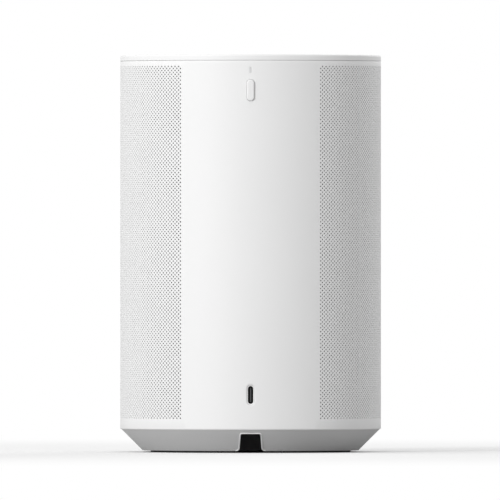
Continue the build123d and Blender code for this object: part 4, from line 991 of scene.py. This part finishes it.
# ---------------------------------------------------------------- drive units
@dataclass
class FlexRing:
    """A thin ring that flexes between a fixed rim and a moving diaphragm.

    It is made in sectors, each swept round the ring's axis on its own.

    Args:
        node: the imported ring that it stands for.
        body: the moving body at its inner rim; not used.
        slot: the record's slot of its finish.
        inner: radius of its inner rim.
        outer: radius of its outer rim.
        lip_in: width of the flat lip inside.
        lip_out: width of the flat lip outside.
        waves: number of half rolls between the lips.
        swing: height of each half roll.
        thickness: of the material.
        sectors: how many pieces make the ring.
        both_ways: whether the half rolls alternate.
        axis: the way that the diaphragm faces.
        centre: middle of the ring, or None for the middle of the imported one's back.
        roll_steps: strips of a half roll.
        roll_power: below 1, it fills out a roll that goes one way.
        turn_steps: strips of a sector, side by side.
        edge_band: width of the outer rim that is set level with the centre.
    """

    node: str
    body: str
    slot: str
    inner: float
    outer: float
    lip_in: float
    lip_out: float
    waves: int
    swing: float
    thickness: float
    sectors: int = 16
    both_ways: bool = True
    axis: Vector = field(default_factory=lambda: Vector((0, -1, 0)))
    centre: Vector | None = None
    roll_steps: int = 10
    roll_power: float = 0.6
    turn_steps: int = 6
    edge_band: float = 0.1 * MM

    def profile(self) -> list[tuple[float, float]]:
        """Works out the ring's section as (radius, height towards the front) points."""
        start, end = self.inner + self.lip_in, self.outer - self.lip_out
        steps = self.roll_steps * self.waves
        section = [(self.inner, 0.0)]
        for index in range(steps + 1):
            share = index / steps
            wave = math.sin(math.pi * self.waves * share)
            height = wave if self.both_ways else abs(wave) ** self.roll_power
            section.append((start + (end - start) * share, self.swing * height))
        return section + [(self.outer, 0.0)]

    def build(self, wardrobe: Wardrobe) -> None:
        """Makes the sectors, thickens them and shifts each along the axis so that its outer rim sits
        level with the centre.
        """
        low, high = frame_box(self.node)
        middle = self.centre or Vector(((low.x + high.x) / 2, high.y, (low.z + high.z) / 2))
        side = self.axis.cross(Vector((0, 0, 1))).normalized()
        angle = 2 * math.pi / self.sectors
        for index in range(self.sectors):
            bm = bmesh.new()
            turn = Matrix.Rotation(index * angle, 3, self.axis)
            ray = turn @ side
            points = [bm.verts.new(middle + ray * r + self.axis * h) for r, h in self.profile()]
            edges = [bm.edges.new(pair) for pair in zip(points, points[1:])]
            bmesh.ops.spin(
                bm,
                geom=points + edges,
                cent=middle,
                axis=self.axis,
                angle=angle,
                steps=self.turn_steps,
                use_merge=False,
            )
            bmesh.ops.recalc_face_normals(bm, faces=bm.faces[:])
            if sum(face.normal.dot(self.axis) for face in bm.faces) > 0:
                bmesh.ops.reverse_faces(bm, faces=bm.faces[:])
            bmesh.ops.solidify(bm, geom=bm.faces[:], thickness=self.thickness)
            rim = [v.co - middle for v in bm.verts]
            rim = [ray for ray in rim if ray.length > self.outer - self.edge_band]
            lip = [ray.dot(self.axis) for ray in rim]
            sink = (min(lip) + max(lip)) / 2 - self.thickness / 2
            bmesh.ops.translate(bm, verts=bm.verts[:], vec=-sink * self.axis)
            bmesh.ops.recalc_face_normals(bm, faces=bm.faces[:])
            name = f"{self.node}_sector_{index + 1:02d}"
            piece = show_piece(name, bm, wardrobe, self.slot, [self.node], body="")
            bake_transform(piece)


# ---------------------------------------------------------------- touch surface
@dataclass
class TouchMarks:
    """Plain printed marks: a start triangle with two bars, and a dash and a cross by the groove.

    Args:
        size: of a mark.
        stroke: width of a bar.
        rise: thickness of the ink.
        row: Y of the triangle and its bars.
        groove_row: Y of the dash and the cross.
        groove_reach: their distance from the middle.
        triangle_shift: how far the triangle lies from the middle, in sizes.
        bar_shifts: the same for its two bars.
        bar_length: length of those bars, in sizes.
    """

    size: float = 3.2 * MM
    stroke: float = 0.5 * MM
    rise: float = 0.03 * MM
    row: float = -8.0 * MM
    groove_row: float = -24.0 * MM
    groove_reach: float = 38.0 * MM
    triangle_shift: float = -0.45
    bar_shifts: tuple[float, float] = (0.35, 0.75)
    bar_length: float = 0.8

    def bar(self, bm: BMesh, x: float, y: float, width: float, height: float) -> None:
        """Adds a thin printed rectangle."""
        place = Matrix.Translation((x, y, 0)) @ Matrix.Diagonal((width, height, self.rise, 1))
        bmesh.ops.create_cube(bm, size=1, matrix=place)

    def build(self, wardrobe: Wardrobe) -> Object:
        """Makes the marks.

        Returns:
            The marks as one piece.
        """
        top = frame_box("top_cover")[1].z
        bm = bmesh.new()
        place = Matrix.Translation((self.size * self.triangle_shift, self.row, 0))
        bmesh.ops.create_cone(
            bm,
            cap_ends=True,
            segments=3,
            radius1=self.size / 2,
            radius2=self.size / 2,
            depth=self.rise,
            matrix=place @ Matrix.Rotation(math.radians(-90), 4, "Z"),
        )
        for shift in self.bar_shifts:
            self.bar(bm, self.size * shift, self.row, self.stroke, self.size * self.bar_length)
        self.bar(bm, -self.groove_reach, self.groove_row, self.size, self.stroke)
        self.bar(bm, self.groove_reach, self.groove_row, self.size, self.stroke)
        self.bar(bm, self.groove_reach, self.groove_row, self.stroke, self.size)
        bmesh.ops.translate(bm, verts=bm.verts[:], vec=(0, 0, top + self.rise / 2))
        piece = show_piece("touch_marks", bm, wardrobe, "light_guide", [])
        wardrobe.dress(piece, "touch_ink")
        return piece


# ---------------------------------------------------------------- cord notch
@dataclass
class NotchRim:
    """Rounded lip along the edge of the cord notch, where it cuts the base's tapered wall.

    Args:
        oval: the body's outline.
        half_top: half of the notch's width under its roof.
        half_foot: half of its width at the foot, inside the flares.
        roof: height of its roof.
        foot: height of the base's lower face.
        corner: rounding under the roof.
        flare: rounding at the foot.
        thickness: radius of the lip.
        taper_top: height where the tapered wall starts.
        taper_inset: how far the wall lies inside the outline there.
        steps: strips of a rounding.
        lip_steps: strips of the lip's own rounding.
    """

    oval: Oval
    half_top: float = 4.85 * MM
    half_foot: float = 5.25 * MM
    roof: float = 9.0 * MM
    foot: float = 0.8 * MM
    corner: float = 1.1 * MM
    flare: float = 1.5 * MM
    thickness: float = 0.32 * MM
    taper_top: float = 10.5 * MM
    taper_inset: float = 0.6 * MM
    steps: int = 8
    lip_steps: int = 3

    def bend(self, start: Vector, corner: Vector, end: Vector) -> list[Vector]:
        """Samples a soft corner as a quadratic curve.

        Args:
            start: where it begins.
            corner: the sharp corner that it replaces.
            end: where it ends.

        Returns:
            Points along it.
        """
        shares = [index / self.steps for index in range(self.steps + 1)]
        return [start * (1 - t) ** 2 + corner * 2 * t * (1 - t) + end * t**2 for t in shares]

    def on_taper(self, x: float, z: float) -> Vector:
        """Puts a point of the notch's outline on the tapered wall, which leans at 45 degrees."""
        reach = self.oval.radius - self.taper_inset - (self.taper_top - z)
        return Vector((x, self.oval.half_straight + math.sqrt(reach**2 - x**2), z))

    def build(self, wardrobe: Wardrobe) -> Object:
        """Sweeps the lip along the notch's outline.

        Returns:
            The lip.
        """
        foot = Vector((self.half_foot, self.foot + self.thickness))
        eave = Vector((self.half_top, self.roof))
        side = self.bend(foot + Vector((self.flare, 0)), foot, foot + Vector((0, self.flare)))
        side += self.bend(eave - Vector((0, self.corner)), eave, eave - Vector((self.corner, 0)))
        outline = side + [Vector((-point.x, point.y)) for point in reversed(side)]
        path = bpy.data.curves.new("notch_rim_path", "CURVE")
        path.dimensions = "3D"
        path.bevel_depth = self.thickness
        path.bevel_resolution = self.lip_steps
        path.use_fill_caps = True
        spline = path.splines.new("POLY")
        spline.points.add(len(outline) - 1)
        for slot, point in zip(spline.points, outline):
            slot.co = (*self.on_taper(point.x, point.y), 1)
        carrier = bpy.data.objects.new("notch_rim_path", path)
        mesh = bpy.data.meshes.new_from_object(carrier)
        bpy.data.objects.remove(carrier)
        mesh.shade_smooth()
        piece = show_piece("notch_rim", mesh, wardrobe, "base_white", [])
        # The lip wears the undarkened white while the base wears its colour darkened for painted shade,
        # so its lighter look is partly its real rounding and partly a painted highlight.
        wardrobe.dress(piece, "button_white")
        return piece


@dataclass
class PortCollar:
    """Moulded collar between the spine's opening and the mouth of the data port's shell.

    Args:
        setback: how far the shell's face lies inside the spine.
        overlap: how far the collar reaches over the shell's edge.
        clearance: how far it reaches outside the shell.
        lip: depth of its outer edge under the spine.
        throat: depth of its inner edge under the spine.
        thickness: its thickness.
        steps: sectors of each round end.
    """

    setback: float = 0.9 * MM
    overlap: float = 0.42 * MM
    clearance: float = 0.07 * MM
    lip: float = 0.25 * MM
    throat: float = 0.55 * MM
    thickness: float = 0.2 * MM
    steps: int = 14

    def pill(self, grow: float, depth: float) -> list[Vector]:
        """Draws the outline of the shell's face.

        Args:
            grow: how much larger it is all round.
            depth: how far it lies under the spine.

        Returns:
            Its points, in order.
        """
        low, high = frame_box("usb_shell")
        middle = (low + high) / 2
        radius = (high.x - low.x) / 2 + grow
        straight = (high.z - low.z - high.x + low.x) / 2
        points = []
        for side in (1, -1):
            for step in range(self.steps + 1):
                turn = math.pi * step / self.steps
                across = side * radius * math.cos(turn)
                up = side * (straight + radius * math.sin(turn))
                front = high.y + self.setback - depth
                points.append(Vector((middle.x + across, front, middle.z + up)))
        return points

    def build(self, wardrobe: Wardrobe) -> Object:
        """Bridges four outlines into a closed ring.

        Returns:
            The collar.
        """
        loops = [
            self.pill(self.clearance, self.lip),
            self.pill(-self.overlap, self.throat),
            self.pill(-self.overlap, self.throat + self.thickness),
            self.pill(self.clearance, self.throat + self.thickness),
        ]
        bm = bmesh.new()
        rings = [[bm.verts.new(point) for point in loop] for loop in loops]
        for ring, inner in zip(rings, rings[1:] + rings[:1]):
            for here in range(len(ring)):
                there = (here + 1) % len(ring)
                bm.faces.new((ring[here], ring[there], inner[there], inner[here]))
        bmesh.ops.recalc_face_normals(bm, faces=bm.faces[:])
        return show_piece("port_collar", bm, wardrobe, "housing_white", [])


# ---------------------------------------------------------------- the whole speaker
@dataclass
class Speaker:
    """The speaker's visible pieces and finishes."""

    wardrobe: Wardrobe

    def dress_nodes(self, frame: dict[str, Any]) -> None:
        """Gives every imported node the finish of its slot.
        """
        for part in frame["record"]["subparts"]:
            piece = frame["nodes"][part["node"]]
            self.wardrobe.dress(piece, SPECIAL.get(part["node"], part["material_slot"]))

    def build(self, frame: dict[str, Any]) -> None:
        """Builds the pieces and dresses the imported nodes.
        """
        self.dress_nodes(frame)
        low, high = frame_box("sleeve")
        radius = (high.x - low.x) / 2
        oval = Oval(radius, (high.y - low.y) / 2 - radius)
        windows = [
            Window("usb_shell", gap=0.1 * MM, bevel=0.45 * MM),
            Window("pair_button", gap=0.1 * MM, bevel=0.06 * MM, length=9.9 * MM, width=3.5 * MM),
            Window("status_light_lens", gap=0.0, bevel=0.08 * MM, length=2.9 * MM, width=0.9 * MM),
        ]
        PerforatedSleeve(oval).build(self.wardrobe, windows)
        AcousticCloth(oval).build(self.wardrobe)
        self.build_rings()
        TouchMarks().build(self.wardrobe)
        NotchRim(oval).build(self.wardrobe)
        PortCollar().build(self.wardrobe)

    def build_rings(self) -> None:
        """Builds the flexing rings of the drive units."""
        FlexRing(
            "woofer_surround", "woofer_diaphragm", "soft_rubber",
            inner=26.95 * MM, outer=37.5 * MM, lip_in=1.8 * MM, lip_out=3.3 * MM,
            waves=1, swing=2.9 * MM, thickness=0.7 * MM, both_ways=False,
        ).build(self.wardrobe)  # fmt: skip
        for side, turn in (("left", -1), ("right", 1)):
            look = Vector((turn * math.sin(TWEETER_SPLAY), -math.cos(TWEETER_SPLAY), 0))
            low, high = frame_box(f"tweeter_{side}_surround")
            hub = Vector((0, TWEETER_HUB_Y, (low.z + high.z) / 2))
            FlexRing(
                f"tweeter_{side}_surround", f"tweeter_{side}_diaphragm", "soft_rubber",
                inner=8.05 * MM, outer=12.2 * MM, lip_in=0.55 * MM, lip_out=2.0 * MM,
                waves=1, swing=0.75 * MM, thickness=0.3 * MM, sectors=8, both_ways=False,
                axis=look, centre=hub + look * TWEETER_REACH,
            ).build(self.wardrobe)  # fmt: skip
        FlexRing(
            "woofer_spider", "woofer_diaphragm", "spider_cloth",
            inner=10.05 * MM, outer=24.2 * MM, lip_in=1.6 * MM, lip_out=2.8 * MM,
            waves=7, swing=0.7 * MM, thickness=0.4 * MM,
        ).build(self.wardrobe)  # fmt: skip


# ---------------------------------------------------------------- surroundings
@dataclass(frozen=True)
class Softbox:
    """A square soft light that looks at the speaker.

    Args:
        name: the light's name.
        place: where it stands.
        size: its side.
        power: in watts.
    """

    name: str
    place: tuple[float, float, float]
    size: float
    power: float


SOFTBOXES = (
    Softbox("key_softbox", (1.8, 2.2, 1.0), 0.7, 35.0),
    Softbox("front_softbox", (-1.4, -2.2, 1.2), 1.8, 20.0),
    Softbox("overhead_softbox", (0.0, 0.0, 2.6), 2.4, 5.0),
)


@dataclass
class Studio:
    """Pale floor, soft lights and the camera behind the spine.

    Args:
        camera_distance: from the camera to the aim.
        view_width: what the frame spans at the aim.
        aim: the point in the middle of the frame.
        sensor_mm: width of the camera's sensor.
        clip_reach: how far the camera sees, in camera distances.
        floor_radius: radius of the floor.
        floor_sides: corners of the floor.
        white_from: radius where the floor starts to turn to plain white.
        white_by: radius where it is plain white.
        floor_tone: sRGB colour that the camera sees.
        floor_bounce: sRGB colour that lights the speaker from below.
        dim_side: strength of the surroundings towards -X.
        bright_side: strength towards +X.
    """

    camera_distance: float = 10.0
    view_width: float = 230.3 * MM
    aim: tuple[float, float, float] = (0.28 * MM, 0.0, 92.95 * MM)
    sensor_mm: float = 36.0
    clip_reach: float = 10.0
    floor_radius: float = 3.0
    floor_sides: int = 96
    white_from: float = 0.25
    white_by: float = 0.75
    floor_tone: str = "f4f4f4"
    floor_bounce: str = "b8b8b8"
    dim_side: float = 0.52
    bright_side: float = 0.94

    def build(self) -> None:
        """Makes the floor, the world, the lights and the camera."""
        self.floor()
        self.world()
        for softbox in SOFTBOXES:
            self.light(softbox)
        self.camera()

    def floor(self) -> None:
        """Makes the pale floor, which returns less light to the object than it shows."""
        bm = bmesh.new()
        bmesh.ops.create_circle(bm, cap_ends=True, segments=self.floor_sides, radius=self.floor_radius)
        mesh = bpy.data.meshes.new("floor")
        bm.to_mesh(mesh)
        bm.free()
        paint = bpy.data.materials.new("painted_floor")
        paint.use_nodes = True
        tree = paint.node_tree
        tree.nodes.clear()
        seen = add_node(tree, "LightPath").outputs["Is Camera Ray"]
        tone = mix_colours(tree, seen, self.floor_bounce, self.floor_tone)
        coat = add_node(tree, "BsdfDiffuse", {"Color": tone}).outputs["BSDF"]
        glow = add_node(tree, "Emission", {"Color": srgb(PURE_WHITE)}).outputs["Emission"]
        coords = add_node(tree, "TexCoord").outputs["Object"]
        out = add_node(tree, "VectorMath", {0: coords}, operation="LENGTH").outputs["Value"]
        far = add_node(
            tree,
            "MapRange",
            {"Value": out, "From Min": self.white_from, "From Max": self.white_by},
            interpolation_type="SMOOTHSTEP",
        ).outputs["Result"]
        share = add_node(tree, "Math", {0: far, 1: seen}, operation="MULTIPLY").outputs[0]
        blend = add_node(tree, "MixShader", {0: share, 1: coat, 2: glow})
        add_node(tree, "OutputMaterial", {"Surface": blend.outputs["Shader"]})
        mesh.materials.append(paint)
        floor = bpy.data.objects.new("floor", mesh)
        bpy.context.scene.collection.objects.link(floor)

    def world(self) -> None:
        """Surrounds everything with white, brighter on the key's side."""
        world = bpy.data.worlds.new("studio")
        world.use_nodes = True
        tree = world.node_tree
        tree.nodes.clear()
        way = add_node(tree, "TexCoord").outputs["Generated"]
        split = add_node(tree, "SeparateXYZ", {0: way})
        ends = {"From Min": -1.0, "To Min": self.dim_side, "To Max": self.bright_side}
        glow = add_node(tree, "MapRange", {"Value": split.outputs["X"], **ends}).outputs["Result"]
        seen = add_node(tree, "LightPath").outputs["Is Camera Ray"]
        level = add_node(tree, "Mix", {MIX_SHARE: seen, MIX_VALUES[0]: glow, MIX_VALUES[1]: 1.0})
        shell = add_node(
            tree, "Background", {"Color": srgb(PURE_WHITE), "Strength": level.outputs[0]}
        )
        add_node(tree, "OutputWorld", {"Surface": shell.outputs["Background"]})
        bpy.context.scene.world = world

    def light(self, softbox: Softbox) -> None:
        """Adds a light and turns it to the aim.

        Args:
            softbox: the light.
        """
        lamp = bpy.data.lights.new(softbox.name, "AREA")
        lamp.size = softbox.size
        lamp.energy = softbox.power
        piece = bpy.data.objects.new(softbox.name, lamp)
        piece.location = softbox.place
        look = Vector(self.aim) - Vector(softbox.place)
        piece.rotation_euler = look.to_track_quat("-Z", "Y").to_euler()
        bpy.context.scene.collection.objects.link(piece)

    def camera(self) -> None:
        """Stands the camera behind the spine, level with the middle of the body."""
        data = bpy.data.cameras.new("camera")
        data.sensor_width = self.sensor_mm
        data.lens = data.sensor_width * self.camera_distance / self.view_width
        piece = bpy.data.objects.new("camera", data)
        aim = Vector(self.aim)
        away = Vector((0, 1, 0))
        piece.location = aim + away * self.camera_distance
        data.clip_end = self.clip_reach * self.camera_distance
        piece.rotation_euler = (-away).to_track_quat("-Z", "Y").to_euler()
        bpy.context.scene.collection.objects.link(piece)
        bpy.context.scene.camera = piece


def main() -> None:
    """Loads the frame, builds the speaker and its surroundings."""
    logging.basicConfig(level=logging.INFO, format="%(name)s %(message)s")
    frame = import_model()
    bpy.context.scene.view_settings.view_transform = "Standard"
    Studio().build()
    Speaker(Wardrobe()).build(frame)


if __name__ == "__main__":
    main()
